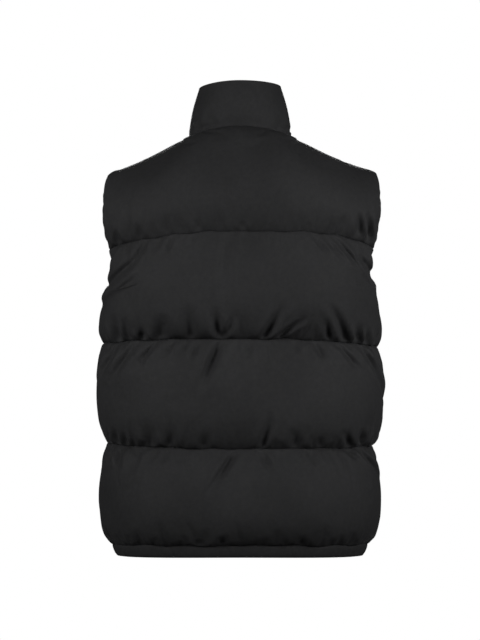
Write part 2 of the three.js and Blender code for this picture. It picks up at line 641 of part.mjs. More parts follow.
function collarOutside(side, face, around, s) {
  const angle = around * (Math.PI / 2);
  const flat = new THREE.Vector3(side * Math.cos(angle), face * Math.sin(angle), 0.12).normalize();
  const direction = collarSeamDirection(side, face, around).lerp(flat, smoothstep(s, 0, 0.3)).normalize();
  const topFold = Math.sqrt(1 - smoothstep(s, 0.82, 1) ** 2);
  let thick = lerp(NECK_WALL, COLLAR_TOP_WALL, smoothstep(s, 0.3, 1)) + COLLAR_PUFF * Math.sin(Math.PI * s);
  thick = lerp(COLLAR_TOP_WALL, thick, topFold);
  if (face < 0) thick *= lerp(1, 0.75, smoothstep(around, 0.75, 1));
  return collarInside(side, face, around, s).addScaledVector(direction, thick);
}

function collarGeometry() {
  const shares = (count) => Array.from({ length: count + 1 }, (_, i) => i / count);
  const places = (count) => [
    ...shares(count).reverse().map((around) => [1, -1, around]),
    ...shares(count).slice(1).map((around) => [1, 1, around]),
    ...shares(count).reverse().slice(1).map((around) => [-1, 1, around]),
    ...shares(count).slice(1).map((around) => [-1, -1, around]),
  ];
  const outside = COLLAR_ROWS.map((s) => places(NECK_COLUMNS).map((place) => collarOutside(...place, s)));
  const inside = insideShares().map((s) =>
    places(NECK_COLUMNS / INSIDE_COLUMN_STEP).map((place) => collarInside(...place, s)),
  );
  return wallGeometry(outside, inside);
}

addPiece("collar", collarGeometry(), shell);

// Middle line of the zip's base, from the hem to the collar's top edge
function zipLine() {
  const points = [];
  for (const seam of [0, 1, 2, 3]) {
    for (const s of [0, 0.25, 0.5, 0.75]) points.push(insidePoint(1, -1, seam, 1, s));
  }
  for (const s of [0, 0.2, 0.4, 0.6, 0.8]) points.push(insidePoint(1, -1, 4, 1, s));
  for (const s of [0, 0.25, 0.5, 0.75, 1]) points.push(collarInside(1, -1, 1, s));
  return new THREE.CatmullRomCurve3(points.map((point) => new THREE.Vector3(0, point.y, point.z)));
}

const ZIP_LINE = zipLine();

// Point of the zip's line at a height, with the line's own outward direction
function zipPlace(z) {
  let low = 0;
  let high = 1;
  for (let i = 0; i < 40; i += 1) {
    const middle = (low + high) / 2;
    if (ZIP_LINE.getPoint(middle).z < z) low = middle;
    else high = middle;
  }
  const tangent = ZIP_LINE.getTangent(low);
  return { point: ZIP_LINE.getPoint(low), out: new THREE.Vector3(0, -tangent.z, tangent.y).normalize() };
}

// A strip that follows the zip's line, with its section given as left, right, bottom and top. All strips
// bend at the same heights.
function zipStrip(fromZ, toZ, left, right, bottom, top) {
  const heights = [fromZ, ...ZIP_BENDS.filter((z) => z > fromZ + 2 && z < toZ - 2), toZ];
  const border = (x, offset) =>
    heights.map((z) => {
      const { point, out } = zipPlace(z);
      return point.addScaledVector(out, offset).setX(x);
    });
  const turn = (columns) => columns[0].map((_, row) => columns.map((column) => column[row]));
  const outside = turn([border(left, top), border(right, top)]);
  const inside = turn([border(left, bottom), border(right, bottom)]);
  return wallGeometry(outside, inside);
}

const ZIP_TOP_Z = COLLAR_TOP_FRONT.z - 3;
const ZIP_LOW_Z = SEAMS[0].front + 2;
const tapeEdge = ZIP_HALF - SEAM_GAP;
const ZIP_STEPS = 26;
const ZIP_BENDS = Array.from({ length: ZIP_STEPS + 1 }, (_, i) => lerp(ZIP_LOW_Z, ZIP_TOP_Z, i / ZIP_STEPS));
addPiece(
  "zip_tape_left",
  zipStrip(ZIP_LOW_Z, ZIP_TOP_Z, TAPE.inner, tapeEdge, TAPE.bottom, TAPE.top),
  zipCloth,
);
addPiece(
  "zip_tape_right",
  zipStrip(ZIP_LOW_Z, ZIP_TOP_Z, -tapeEdge, -TAPE.inner, TAPE.bottom, TAPE.top),
  zipCloth,
);
addPiece(
  "zip_chain",
  zipStrip(CHAIN_LOW_Z, SLIDER_Z + 2.4, -CHAIN.half, CHAIN.half, CHAIN.bottom, CHAIN.top),
  zipTeeth,
);

// Hard parts of the zip stand in a group of their own, with local Y out of the vest and Z along the zip
function zipGroup(z) {
  const { point, out } = zipPlace(z);
  const group = new THREE.Group();
  group.position.copy(point);
  group.quaternion.setFromUnitVectors(new THREE.Vector3(0, -1, 0), out);
  vest.add(group);
  return group;
}

// A flat piece of even depth: its outline lies in X and Z, and it spans two distances out of the vest
function platePiece(outline, near, far) {
  const shape = new THREE.Shape(outline.map(([x, z]) => new THREE.Vector2(x, z)));
  const geometry = new THREE.ExtrudeGeometry(shape, { depth: far - near, bevelEnabled: false });
  geometry.rotateX(Math.PI / 2);
  geometry.translate(0, -near, 0);
  return geometry;
}

// Stops: one below the teeth, and one on each tape above the slider
function stopPiece(name, z, from, to, length) {
  const outline = [[from, -length / 2], [to, -length / 2], [to, length / 2], [from, length / 2]];
  addPiece(name, platePiece(outline, TAPE.top + SEAM_GAP, CHAIN.top), zipMetal, zipGroup(z));
}
stopPiece("zip_bottom_stop", CHAIN_LOW_Z - BOTTOM_STOP.drop, -CHAIN.half, CHAIN.half, BOTTOM_STOP.length);
const topStopZ = SLIDER_Z + TOP_STOP.rise;
stopPiece("zip_top_stop_left", topStopZ, TOP_STOP.inner, TOP_STOP.outer, TOP_STOP.length);
stopPiece("zip_top_stop_right", topStopZ, -TOP_STOP.outer, -TOP_STOP.inner, TOP_STOP.length);

// Slider: a plate over the teeth with two flanges beside them, and a bridge that carries the pull tab
const PLATE = { near: CHAIN.top + SEAM_GAP, far: CHAIN.top + SEAM_GAP + 1.4, half: 4.6, length: 11 };
const FLANGE = { near: TAPE.top + SEAM_GAP, inner: CHAIN.half + SEAM_GAP };
const BRIDGE = { half: 0.9, length: 8, legs: 1.4, height: 3.6, roof: 1.1 };
const PIVOT_OUT = PLATE.far + 1.3; // how far out of the zip's line the pull tab hinges

function rectangle(fromX, toX, fromZ, toZ) {
  return [[fromX, fromZ], [toX, fromZ], [toX, toZ], [fromX, toZ]];
}

function sliderParts() {
  const end = PLATE.length / 2;
  const taper = PLATE.half - 1.1;
  const { half } = PLATE;
  const plate = [[-taper, -end], [taper, -end], [half, 1], [half, end], [-half, end], [-half, 1]];
  const overlap = 0.2;
  const parts = [platePiece(plate, PLATE.near, PLATE.far)];
  for (const side of [-1, 1]) {
    const xs = [side * FLANGE.inner, side * PLATE.half].sort((a, b) => a - b);
    parts.push(platePiece(rectangle(xs[0], xs[1], 1, end), FLANGE.near, PLATE.near + overlap));
    const legEnd = (side * BRIDGE.length) / 2;
    const zs = [legEnd, legEnd - side * BRIDGE.legs].sort((a, b) => a - b);
    const leg = rectangle(-BRIDGE.half, BRIDGE.half, zs[0], zs[1]);
    parts.push(platePiece(leg, PLATE.far - overlap, PLATE.far + BRIDGE.height));
  }
  const roof = rectangle(-BRIDGE.half, BRIDGE.half, -BRIDGE.length / 2, BRIDGE.length / 2);
  const roofNear = PLATE.far + BRIDGE.height - BRIDGE.roof;
  parts.push(platePiece(roof, roofNear, PLATE.far + BRIDGE.height));
  return parts;
}

const manifold = await Module();
manifold.setup();

function toManifold(geometry) {
  const { position } = geometry.attributes;
  const plain = mergeVertices(new THREE.BufferGeometry().setAttribute("position", position));
  return new manifold.Manifold(
    new manifold.Mesh({
      numProp: 3,
      vertProperties: new Float32Array(plain.attributes.position.array),
      triVerts: new Uint32Array(plain.index.array),
    }),
  );
}

function unionGeometry(parts) {
  const whole = parts.map(toManifold).reduce((sum, part) => sum.add(part)).getMesh();
  const geometry = new THREE.BufferGeometry();
  geometry.setAttribute("position", new THREE.BufferAttribute(whole.vertProperties, 3));
  geometry.setIndex(new THREE.BufferAttribute(whole.triVerts, 1));
  return geometry;
}

addPiece("slider", unionGeometry(sliderParts()), zipMetal, zipGroup(SLIDER_Z));

// Pull tab: a bar under the bridge, two arms beside it and a long flat tab that hangs down
const TAB = { half: 3.4, slotHalf: 1.5, slotLength: 5.6, length: 30, thick: 1.3, bar: 1.3 };

function pullTabShape() {
  const top = TAB.bar / 2;
  const outline = [
    [-TAB.half, top],
    [-TAB.half, -TAB.length * 0.55],
    [-TAB.half - 0.9, -TAB.length * 0.7],
    [-TAB.half - 0.9, -TAB.length + 1.6],
    [-TAB.half + 0.9, -TAB.length],
    [TAB.half - 0.9, -TAB.length],
    [TAB.half + 0.9, -TAB.length + 1.6],
    [TAB.half + 0.9, -TAB.length * 0.7],
    [TAB.half, -TAB.length * 0.55],
    [TAB.half, top],
  ];
  const shape = new THREE.Shape(outline.map(([x, z]) => new THREE.Vector2(x, z)));
  const slot = rectangle(-TAB.slotHalf, TAB.slotHalf, -top - TAB.slotLength, -top);
  shape.holes.push(new THREE.Path(slot.map(([x, z]) => new THREE.Vector2(x, z))));
  const geometry = new THREE.ExtrudeGeometry(shape, { depth: TAB.thick, bevelEnabled: false });
  geometry.rotateX(Math.PI / 2);
  geometry.translate(0, TAB.thick / 2 - PIVOT_OUT, 0);
  return geometry;
}

addPiece("pull_tab", pullTabShape(), zipMetal, zipGroup(SLIDER_Z));

export default vest;
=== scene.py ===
import math

import bmesh
import bpy
import numpy as np
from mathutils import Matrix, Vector


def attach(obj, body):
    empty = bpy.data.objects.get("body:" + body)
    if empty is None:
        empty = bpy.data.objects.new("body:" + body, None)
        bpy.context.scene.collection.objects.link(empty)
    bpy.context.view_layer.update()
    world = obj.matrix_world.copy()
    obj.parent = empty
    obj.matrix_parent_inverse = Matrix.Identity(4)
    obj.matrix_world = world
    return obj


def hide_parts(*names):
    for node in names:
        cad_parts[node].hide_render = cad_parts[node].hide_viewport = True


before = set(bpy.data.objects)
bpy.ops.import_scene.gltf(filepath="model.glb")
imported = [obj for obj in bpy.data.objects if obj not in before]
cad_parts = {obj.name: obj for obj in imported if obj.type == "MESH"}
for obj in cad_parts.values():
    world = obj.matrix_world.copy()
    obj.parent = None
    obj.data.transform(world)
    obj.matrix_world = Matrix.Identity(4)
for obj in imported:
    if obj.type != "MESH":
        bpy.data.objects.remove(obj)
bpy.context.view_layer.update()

# A black padded vest in worn form, dressed over its solids. Sizes are in millimetres, in the frame of
# the solids: X to the wearer's left, Y to the back, Z up. They become metres where meshes are made.
MM = 0.001

SEAM_GAP = 0.04  # clear width between sewn pieces, less than the solids', so that no light shows through

# Sizes that the solids share
SEAM_WALL = 5
SHOULDER_WALL = 10
NECK_WALL = 7
LEAST_WALL = 3.5
EDGE_WALL = 6
EDGE_ROUNDING = 26
UNDERARM_TAPER = 90
UNDERARM_SHARE = 0.12
SIDE_SEAM_SHARE = 0.55
SAG = 7
FULL_PUFF = 25
PUFF_ROUNDNESS = 0.8
RING_ROUNDNESS = 2.4
UNDERARM_Z = -240
ARMHOLE_BACK = 58
ARMHOLE_FRONT = 62
ARMHOLE_SHAPE = 2.6
SHOULDER_TIPS = {"left": np.array([204.0, 2.0, -68.0]), "right": np.array([210.0, 2.0, -64.5])}
SHOULDER_SAGS = {"left": 4, "right": 5}
NECK_POINT = np.array([73.0, 5.0, -10.0])
NECK_BACK = {"y": 66, "z": 5}
NECK_FRONT = {"y": -71, "z": -56}
COLLAR_TOP_HALF = 59
COLLAR_TOP_SIDE_Z = {"left": 73, "right": 76}
COLLAR_TOP_BACK = {"y": 61, "z": 78}
COLLAR_TOP_FRONT = {"y": -64, "z": 52}
COLLAR_PUFF = 2.5
COLLAR_TOP_WALL = 4.5
RIGHT_CHEST_EXTRA = 5
RIGHT_EXTRA_FROM_Z = -280
CHEST_Z = -150
ZIP_HALF = 9
SHOULDER_SPREAD = 11
NECK_ROUNDING = 0.25
NECK_SHARE = 16 / 26  # where along a yoke's upper border the shoulder seam ends and the collar's starts
SHOULDER_LEAN = 0.22  # how far outwards the wall at a shoulder seam leans, for each unit up
NECK_LEAN = {"out": 0.8, "up": 0.6}  # direction of the wall at the collar seam
NECK_TURN = 0.12  # share of a yoke's width over which the one turns into the other
SEAM_TURN_FROM = 0.72  # share of a yoke's height from which its wall turns to them
YOKE_RISE = 0.42  # share of a yoke's height over which it rises straight from the chest seam

# Inside of the body: half width and depth to the back and front, at each height
LEVELS = {
    "z": [-644, -628, -560, -476, -400, -322, -240, -150],
    "half": [189, 193, 196, 198, 200, 205, 201, 215],
    "back": [114, 116, 117, 111, 110, 113, 119, 122],
    "front": [108, 110, 112, 109, 107, 107, 107, 103],
}
LEVELS = {name: np.array(values, float) for name, values in LEVELS.items()}

# Heights of the seams round the body: middle of the back, wearer's left and right side, middle of front
SEAMS = [
    {"name": "hem_edge", "back": -639, "left": -648, "right": -648, "front": -646},
    {"name": "hem_seam", "back": -621, "left": -630, "right": -630, "front": -628},
    {"name": "hip_seam", "back": -478, "left": -472, "right": -478, "front": -476},
    {"name": "waist_seam", "back": -313, "left": -322, "right": -329, "front": -325},
    {"name": "chest_seam", "back": -153, "left": -177, "right": -176, "front": -168},
]
BAFFLES = [
    {"name": "hip", "seam": 1, "side": 22, "back": 31, "front": 29},
    {"name": "waist", "seam": 2, "side": 22, "back": 31, "front": 29},
    {"name": "chest", "seam": 3, "side": 23, "back": 29, "front": 28},
    {"name": "yoke", "seam": 4, "side": 22, "back": 25, "front": 24},
]
YOKE = 4
CHEST = 3
BODY_SPAN = 255  # half widths of the panels' cloth, over which folds are measured
YOKE_SPAN = 225
YOKE_HEIGHT = 165
BAFFLE_HEIGHT = 150
SEAM_DROP = 2  # how late a seam drops on its way from the middle to the side
FLAT_DROP = 3.5  # the same for the right end of the chest seam's back
SEAM_WOBBLE = 1.1  # how far a seam strays up and down
FINE_STEP = 0.004  # shares over which a panel's direction is measured, wider across a yoke
YOKE_STEP = 0.06
RISE_STEP = 1.5
CHEST_TOP_SHARE = 0.9
YOKE_BENDS = [
    {"h": 0, "back": 22, "front": 28, "share": 0.36},
    {"h": 0.6, "back": 7, "front": 24, "share": 0.42},
    {"h": 1, "back": 56, "front": 64, "share": 0.34},
]
BACK, FRONT = 1, -1
LEFT, RIGHT = 1, -1


def lerp(a, b, t):
    return a + (b - a) * t


def smoothstep(x, low, high):
    t = np.clip((x - low) / (high - low), 0, 1)
    return t * t * (3 - 2 * t)


def unit(v):
    return v / np.maximum(np.linalg.norm(v, axis=-1, keepdims=True), 1e-9)


def level_value(column, z):
    """Smooth curve through one column of LEVELS."""
    zs, values = LEVELS["z"], LEVELS[column]
    last = len(zs) - 1
    i = np.clip(np.searchsorted(zs, z) - 1, 0, last - 1)
    before, after = np.clip(i - 1, 0, last), np.clip(i + 2, 0, last)
    span = zs[i + 1] - zs[i]
    t = np.clip((z - zs[i]) / span, 0, 1)
    start = (values[i + 1] - values[before]) / (zs[i + 1] - zs[before]) * span
    end = (values[after] - values[i]) / (zs[after] - zs[i]) * span
    ends = (1 - 3 * t**2 + 2 * t**3) * values[i] + (3 * t**2 - 2 * t**3) * values[i + 1]
    return ends + (t**3 - 2 * t**2 + t) * start + (t**3 - t**2) * end


def quarter_point(half, depth, start_y, end_x, h):
    """Point on a quarter of a body ring, h = 0 at its side edge and h = 1 at the middle, by length."""
    power = 2 / RING_ROUNDNESS
    first = np.arcsin((start_y / depth) ** (1 / power))
    last = np.arccos((end_x / half) ** (1 / power))
    steps = np.linspace(0, 1, 65)
    angle = first[..., None] + (last - first)[..., None] * steps
    x = half[..., None] * np.clip(np.cos(angle), 0, 1) ** power
    y = depth[..., None] * np.clip(np.sin(angle), 0, 1) ** power
    pieces = np.hypot(np.diff(x, axis=-1), np.diff(y, axis=-1))
    length = np.concatenate([np.zeros(pieces.shape[:-1] + (1,)), np.cumsum(pieces, -1)], -1)
    wanted = np.clip(h, 0, 1) * length[..., -1]
    i = np.clip((length < wanted[..., None]).sum(-1), 1, len(steps) - 1)

    def pick(table, k):
        return np.take_along_axis(table, k[..., None], -1)[..., 0]

    t = (wanted - pick(length, i - 1)) / (pick(length, i) - pick(length, i - 1))
    return lerp(pick(x, i - 1), pick(x, i), t), lerp(pick(y, i - 1), pick(y, i), t)


def seam_height(index, side, face, h):
    seam = SEAMS[index]
    middle = seam["back"] if face == BACK else seam["front"]
    end = np.where(side > 0, seam["left"], seam["right"])
    drop = np.where((side < 0) & (index == YOKE) & (face == BACK), FLAT_DROP, SEAM_DROP)
    along = side * (1 - h) * BODY_SPAN
    wave = np.sin(along / 17 + 2 * index) * np.sin(along / 41 + index) + 0.6 * np.sin(along / 9 + 5 * index)
    free = (1 - h) * h * 4 if index > 0 else 0
    return middle + (end - middle) * (1 - h) ** drop + SEAM_WOBBLE * wave * np.minimum(1, 2 * free)


def armhole_reach(face, side, z):
    """How far to the back or front of the side line the armhole's edge lies at a height."""
    chest = seam_height(YOKE, side, face, 0)
    down = np.clip((chest - z) / (chest - UNDERARM_Z), 0, 1)
    reach = ARMHOLE_BACK if face == BACK else ARMHOLE_FRONT
    return np.maximum(SEAM_GAP / 2, reach * np.sqrt(1 - down**ARMHOLE_SHAPE))


def body_half(side, z):
    extra = RIGHT_CHEST_EXTRA * smoothstep(z, RIGHT_EXTRA_FROM_Z, CHEST_Z)
    return level_value("half", z) + np.where(side < 0, extra, 0)


def body_point(side, face, seam, h, s):
    z = lerp(seam_height(seam, side, face, h), seam_height(seam + 1, side, face, h), s)
    edge_z = lerp(seam_height(seam, side, face, 0), seam_height(seam + 1, side, face, 0), s)
    depth = level_value("back" if face == BACK else "front", z)
    end_x = np.full_like(z, 0.0 if face == BACK else ZIP_HALF)
    x, y = quarter_point(body_half(side, z), depth, armhole_reach(face, side, edge_z), end_x, h)
    return np.stack([side * x, face * y, z], -1)


def collar_seam_point(side, face, around):
    """Inside of the collar seam, from the neck point to the middle of the back or the zip."""
    back = np.broadcast_to(np.asarray(face) > 0, around.shape)
    end_y = np.where(back, NECK_BACK["y"], NECK_FRONT["y"])
    end_z = np.where(back, NECK_BACK["z"], NECK_FRONT["z"])
    angle = around * np.where(back, math.pi / 2, math.acos(ZIP_HALF / NECK_POINT[0]))
    drop = np.sin(angle) ** np.where(back, 1.7, 1.25)
    x = NECK_POINT[0] * np.cos(angle)
    y = lerp(NECK_POINT[1], end_y, np.sin(angle))
    return np.stack([side * x, y, lerp(NECK_POINT[2], end_z, drop)], -1)


def yoke_top(side, face, h):
    """Upper border of a yoke: along the shoulder seam from its tip, then along the collar seam."""
    t = np.clip(h / NECK_SHARE, 0, 1)[..., None]
    tip = np.where(side[..., None] > 0, SHOULDER_TIPS["left"], SHOULDER_TIPS["right"])
    shoulder = lerp(tip, NECK_POINT, t) + np.array([0, face * SEAM_GAP / 2, 0])
    sag = np.where(side > 0, SHOULDER_SAGS["left"], SHOULDER_SAGS["right"])
    shoulder[..., 2] -= sag * np.sin(np.pi * t[..., 0])
    shoulder = shoulder * np.stack([side, np.ones_like(h), np.ones_like(h)], -1)
    neck = collar_seam_point(side, face, np.clip((h - NECK_SHARE) / (1 - NECK_SHARE), 0, 1))
    return np.where((h <= NECK_SHARE)[..., None], shoulder, neck)


def soft_top(side, face, h):
    """The yoke's upper border with its corner at the neck point rounded off."""
    reach = NECK_ROUNDING * smoothstep(h, 0, NECK_SHARE) * (1 - smoothstep(h, NECK_SHARE, 1))
    return sum(yoke_top(side, face, h + step * reach) for step in (-1, -0.5, 0, 0.5, 1)) / 5


def yoke_bend(face, h):
    tip, neck, middle = YOKE_BENDS
    key = "back" if face == BACK else "front"
    outer = smoothstep(h, tip["h"], neck["h"])
    inner = smoothstep(h, neck["h"], middle["h"])

    def value(name):
        near_tip = lerp(tip[name], neck[name], outer)
        return np.where(h < neck["h"], near_tip, lerp(neck[name], middle[name], inner))

    return np.radians(value(key)), value("share")


def yoke_point(side, face, h, s):
    """Inside of a yoke: each column rises from the chest seam and bends over to shoulder or neck."""
    bottom = body_point(side, face, CHEST, h, np.ones_like(s))
    top = yoke_top(side, face, h)
    soft = soft_top(side, face, h)
    reach = np.linalg.norm(soft - bottom, axis=-1)
    slope, share = yoke_bend(face, h)
    zero = np.zeros_like(reach)
    spread = side * SHOULDER_SPREAD * (1 - h) ** 3
    above = bottom + np.stack([spread, zero, YOKE_RISE * reach], -1)
    back, down = face * np.cos(slope) * share * reach, -np.sin(slope) * share * reach
    behind = soft + np.stack([0.4 * spread, back, down], -1)
    t = s[..., None]
    return (1 - t) ** 3 * bottom + 3 * t * (1 - t) ** 2 * above + 3 * t**2 * (1 - t) * behind + t**3 * top


def inside_point(side, face, seam, h, s):
    """Inside of the wall. A row just past a seam belongs to the next baffle."""
    out = yoke_point(side, face, h, s) if seam == YOKE else body_point(side, face, seam, h, s)
    for past, other, shift in ((s < 0, seam - 1, 1), (s > 1, seam + 1, -1)):
        if past.any() and 0 <= other <= YOKE:
            out[past] = inside_point(side[past], face, other, h[past], s[past] + shift)
    return out


def collar_seam_direction(side, face, around):
    angle = around * (math.pi / 2)
    flat = np.stack([side * np.cos(angle), face * np.sin(angle), np.zeros_like(angle)], -1)
    return unit(flat * NECK_LEAN["out"] + np.array([0, 0, NECK_LEAN["up"]]))


def ring_rise(side, face, points):
    """How places on the body's rings move as the rings rise, at the same share of their size."""
    z, step = points[..., 2], RISE_STEP
    depth = "back" if face == BACK else "front"
    wider = (body_half(side, z + step) - body_half(side, z - step)) / body_half(side, z)
    deeper = (level_value(depth, z + step) - level_value(depth, z - step)) / level_value(depth, z)
    return np.stack([points[..., 0] * wider, points[..., 1] * deeper, np.full_like(z, 2 * step)], -1)


def outward(side, face, seam, h, s):
    """Direction in which the wall's thickness is measured, the same on both sides of a seam."""
    step = FINE_STEP
    stride = YOKE_STEP if seam == YOKE else step
    across = inside_point(side, face, seam, np.minimum(h + stride, 1), s)
    across = across - inside_point(side, face, seam, np.maximum(h - stride, 0), s)
    low = np.maximum(s - step, 0) if seam == 0 else s - step
    high = np.minimum(s + step, 1) if seam == YOKE else s + step
    up = inside_point(side, face, seam, h, high) - inside_point(side, face, seam, h, low)
    if seam == CHEST:
        # its columns run askew round the armhole's lower end, so they can't be measured along there
        rise = ring_rise(side, face, inside_point(side, face, seam, h, s))
        up = np.where((s < CHEST_TOP_SHARE)[..., None], rise, up)
    normal = unit(np.cross(across, up) * (side * face)[..., None])
    if face == BACK:
        normal[..., 0] = np.where(h == 1, 0, normal[..., 0])
    edge = np.abs(inside_point(side, face, seam, np.zeros_like(h), s)[..., 1])
    normal[..., 1] = np.where((h == 0) & (edge < SEAM_GAP), 0, normal[..., 1])
    if seam == YOKE:
        shoulder = unit(np.stack([SHOULDER_LEAN * side, np.zeros_like(h), np.ones_like(h)], -1))
        neck = collar_seam_direction(side, face, np.clip((h - NECK_SHARE) / (1 - NECK_SHARE), 0, 1))
        seam_direction = lerp(shoulder, neck, smoothstep(h, NECK_SHARE - NECK_TURN, NECK_SHARE)[..., None])
        normal = lerp(normal, seam_direction, smoothstep(s, SEAM_TURN_FROM, 1)[..., None])
    return unit(normal)


# Folds of the back. Each starts at a seam and runs up or down from it. It is given as its
# place, from the middle of the back towards the wearer's left, how much further left its far end lies,
# and its width, length and depth.
BACK_FOLDS = {
    ("chest_seam", "up"): [
        (196, 0, 9, 20, 3), (155, 0, 9, 14, 2.5), (112, 2, 9, 14, 2), (64, 0, 9, 14, 3), (-4, 0, 8, 10, 4),
        (-139, 0, 8, 12, 2), (-178, 0, 9, 22, 4), (-204, 4, 10, 30, 5),
    ],
    ("chest_seam", "down"): [
        (184, 44, 12, 60, 5), (131, 12, 9, 26, 3), (92, 6, 8, 22, 3), (62, 5, 8, 14, 2),
        (17, 9, 12, 90, 2.2), (-4, 0, 7, 12, 3), (-95, -21, 9, 24, 2.5), (-121, -45, 10, 38, 3),
        (-186, -40, 11, 44, 6),
    ],
    ("waist_seam", "up"): [
        (180, 0, 12, 37, 5), (161, 4, 10, 40, 3), (139, 0, 9, 18, 5), (112, 0, 18, 36, 4),
        (70, 2, 14, 56, 3.5), (28, 6, 12, 42, 6), (22, -12, 9, 38, 4), (-32, -24, 11, 50, 5),
        (-50, -36, 10, 34, 4.5), (-129, 8, 9, 30, 4.5), (-155, 30, 12, 56, 5), (-171, 1, 9, 26, 5),
        (-191, 3, 8, 24, 5), (-214, 0, 9, 24, 4),
    ],
    ("waist_seam", "down"): [
        (186, 22, 12, 52, 3.5), (150, 34, 12, 50, 3), (121, 20, 9, 28, 4), (97, 10, 8, 20, 3),
        (79, 4, 8, 16, 2.5), (60, 9, 8, 26, 3), (28, 26, 12, 62, 5), (5, 0, 8, 14, 2.5), (-13, 2, 8, 20, 3),
        (-79, 0, 9, 14, 2), (-107, -12, 9, 24, 4), (-139, -31, 10, 34, 3.5), (-178, -58, 12, 80, 4),
        (-204, -12, 10, 40, 3),
    ],
    ("hip_seam", "up"): [
        (210, 0, 8, 18, 4), (190, 0, 9, 26, 4), (172, 0, 8, 22, 4), (131, 0, 14, 30, 3.5),
        (103, 0, 12, 26, 3), (52, 0, 12, 22, 3), (-32, -12, 10, 46, 4), (-80, 0, 14, 26, 3),
        (-116, 0, 12, 20, 2.5), (-166, 12, 9, 26, 4.5), (-187, 5, 9, 28, 5.5), (-216, 0, 9, 24, 5),
    ],
    ("hip_seam", "down"): [
        (208, -10, 8, 32, 3), (188, -10, 8, 30, 3), (162, -12, 10, 16, 4), (145, 0, 9, 12, 4),
        (109, 0, 9, 18, 2), (5, 38, 11, 62, 4), (-33, -11, 9, 36, 3.5), (-105, 0, 9, 20, 2.5),
        (-162, -12, 9, 16, 5), (-180, -42, 11, 46, 4), (-218, -10, 8, 24, 4),
    ],
    ("hem_seam", "up"): [
        (200, 10, 9, 16, 4), (60, 0, 12, 14, 2.5), (26, 0, 12, 18, 3), (-90, 0, 12, 16, 2.5),
        (-180, -33, 9, 16, 4), (-204, -14, 9, 24, 4),
    ],
}
FRONT_FOLDS_PER_SEAM = 6

FRONT_FOLD_STEP = 36
FOLD_STRENGTH = {"up": 1.4, "down": 2.2}
RIDGE = 0.4  # share of a fold's depth that rises beside it
RIDGE_PLACE = 1.9  # where, in half widths of the fold
SIDE_FADE = 14  # tucks and folds end this far short of a side seam
LOW_STEEPNESS = 0.84
TUCKED_HALF = 262
TUCK_STEPS = (6, 17)
TUCK_REACHES = (9, 34)
TUCK_WIDTHS = (2.6, 5.2)
TUCK_DEPTH = 0.62

# The cloth of a baffle, as it is cut and sewn
COLUMNS_HALF = 96
ROWS = 44
GATHER_SHARE = 0.45  # how much of the width of its fullest row each row of the cloth is cut to
MOST_SPARE = 0.075
PADDING = 0.05  # how firmly the padding holds the cloth where it is
MOST_MOVE = 9.0  # no point of the cloth ends further than this from the solids' puff
SIM_FRAMES = 24
CLOTH = {
    "quality": 5,
    "mass": 0.15,
    "air_damping": 2.0,
    "tension_stiffness": 12,
    "compression_stiffness": 12,
    "shear_stiffness": 4,
    "bending_stiffness": 4.0,
    "tension_damping": 6,
    "compression_damping": 6,
    "vertex_group_mass": "held",
    "pin_stiffness": 1.0,
    "vertex_group_shrink": "not_spare",
    "shrink_min": -MOST_SPARE,
    "shrink_max": 0,
    "use_pressure": True,
    "uniform_pressure_force": 6.0,
}

# Piece, x and z of the two ends, width, depth, and share of the depth that swells up below
PLACED_CREASES = [
    ("back_chest", (148, -190), (198, -238), 5.6, 8.0, 0.7),
    ("back_chest", (-168, -185), (-203, -224), 4.4, 6.6, 0.6),
    ("back_chest", (-118, -156), (-146, -188), 3.6, 3.2, 0.4),
    ("front_left_chest", (168, -192), (200, -236), 5.0, 7.0, 0.65),
    ("front_right_chest", (-156, -198), (-199, -240), 5.4, 6.5, 0.65),
    ("back_yoke", (64, -6), (30, -9), 3.4, 2.2, 0.4),
    ("back_yoke", (-58, -4), (-84, -14), 3.6, 2.4, 0.4),
    ("back_yoke", (-168, -128), (-176, -156), 4.0, 5.5, 0.5),
    ("back_yoke", (-182, -126), (-190, -158), 4.0, 5.0, 0.5),
    ("collar", (73, 11), (59, 25), 3.2, 2.6, 0.4),
    ("collar", (-60, 10), (-76, 3), 3.4, 2.8, 0.4),
    ("collar", (68, 2), (34, 9), 3.2, 2.0, 0.3),
]
UNDERARM_ROWS = (0.556, 0.563, 0.570, 0.577, 0.584, 0.592)  # rows of a chest baffle at the armhole's end
RIM_BULGE = 2.2  # roundness of the open edges


def uneven(seed):
    value = math.sin(seed * 12.9898) * 43758.5453
    return value - math.floor(value)


def front_folds(side):
    """Gathers of a front, alike to those of the back."""
    folds = {}
    for index, seam in enumerate(SEAMS[1:]):
        for goes in ("up",) if seam["name"] == "hem_seam" else ("up", "down"):
            rows = folds[seam["name"], goes] = []
            for i in range(FRONT_FOLDS_PER_SEAM):
                seed = 97 * index + 31 * i + (7 if goes == "up" else 3) + (0 if side > 0 else 400)
                at = 22 + (i + 0.15 + 0.7 * uneven(seed)) * FRONT_FOLD_STEP
                length = 16 + 38 * uneven(seed + 1) ** 2
                lean = (uneven(seed + 2) - 0.35) * length
                rows.append((side * at, side * lean, 11, length, 2.4 + 2.8 * uneven(seed + 3)))
    return folds


def fold_trough(offset):
    """A fold's section: a trough with a low ridge beside it."""
    return np.exp(-(offset**2)) - RIDGE * np.exp(-((offset - RIDGE_PLACE) ** 2))


def fold_depth(folds, seam, goes, along, away):
    """Depth that the folds take off the wall at a place."""
    taken = np.zeros_like(along)
    for at, lean, width, length, depth in folds.get((SEAMS[seam]["name"], goes), ()):
        middle = at + lean * np.minimum(away / length, 1)
        trough = fold_trough(np.abs(along - middle) / (width / 2 + 0.6))
        fade = smoothstep(away, 0, 6) * (1 - smoothstep(away, 0.35 * length, 1.3 * length))
        taken += FOLD_STRENGTH[goes] * depth * trough * fade
    return taken


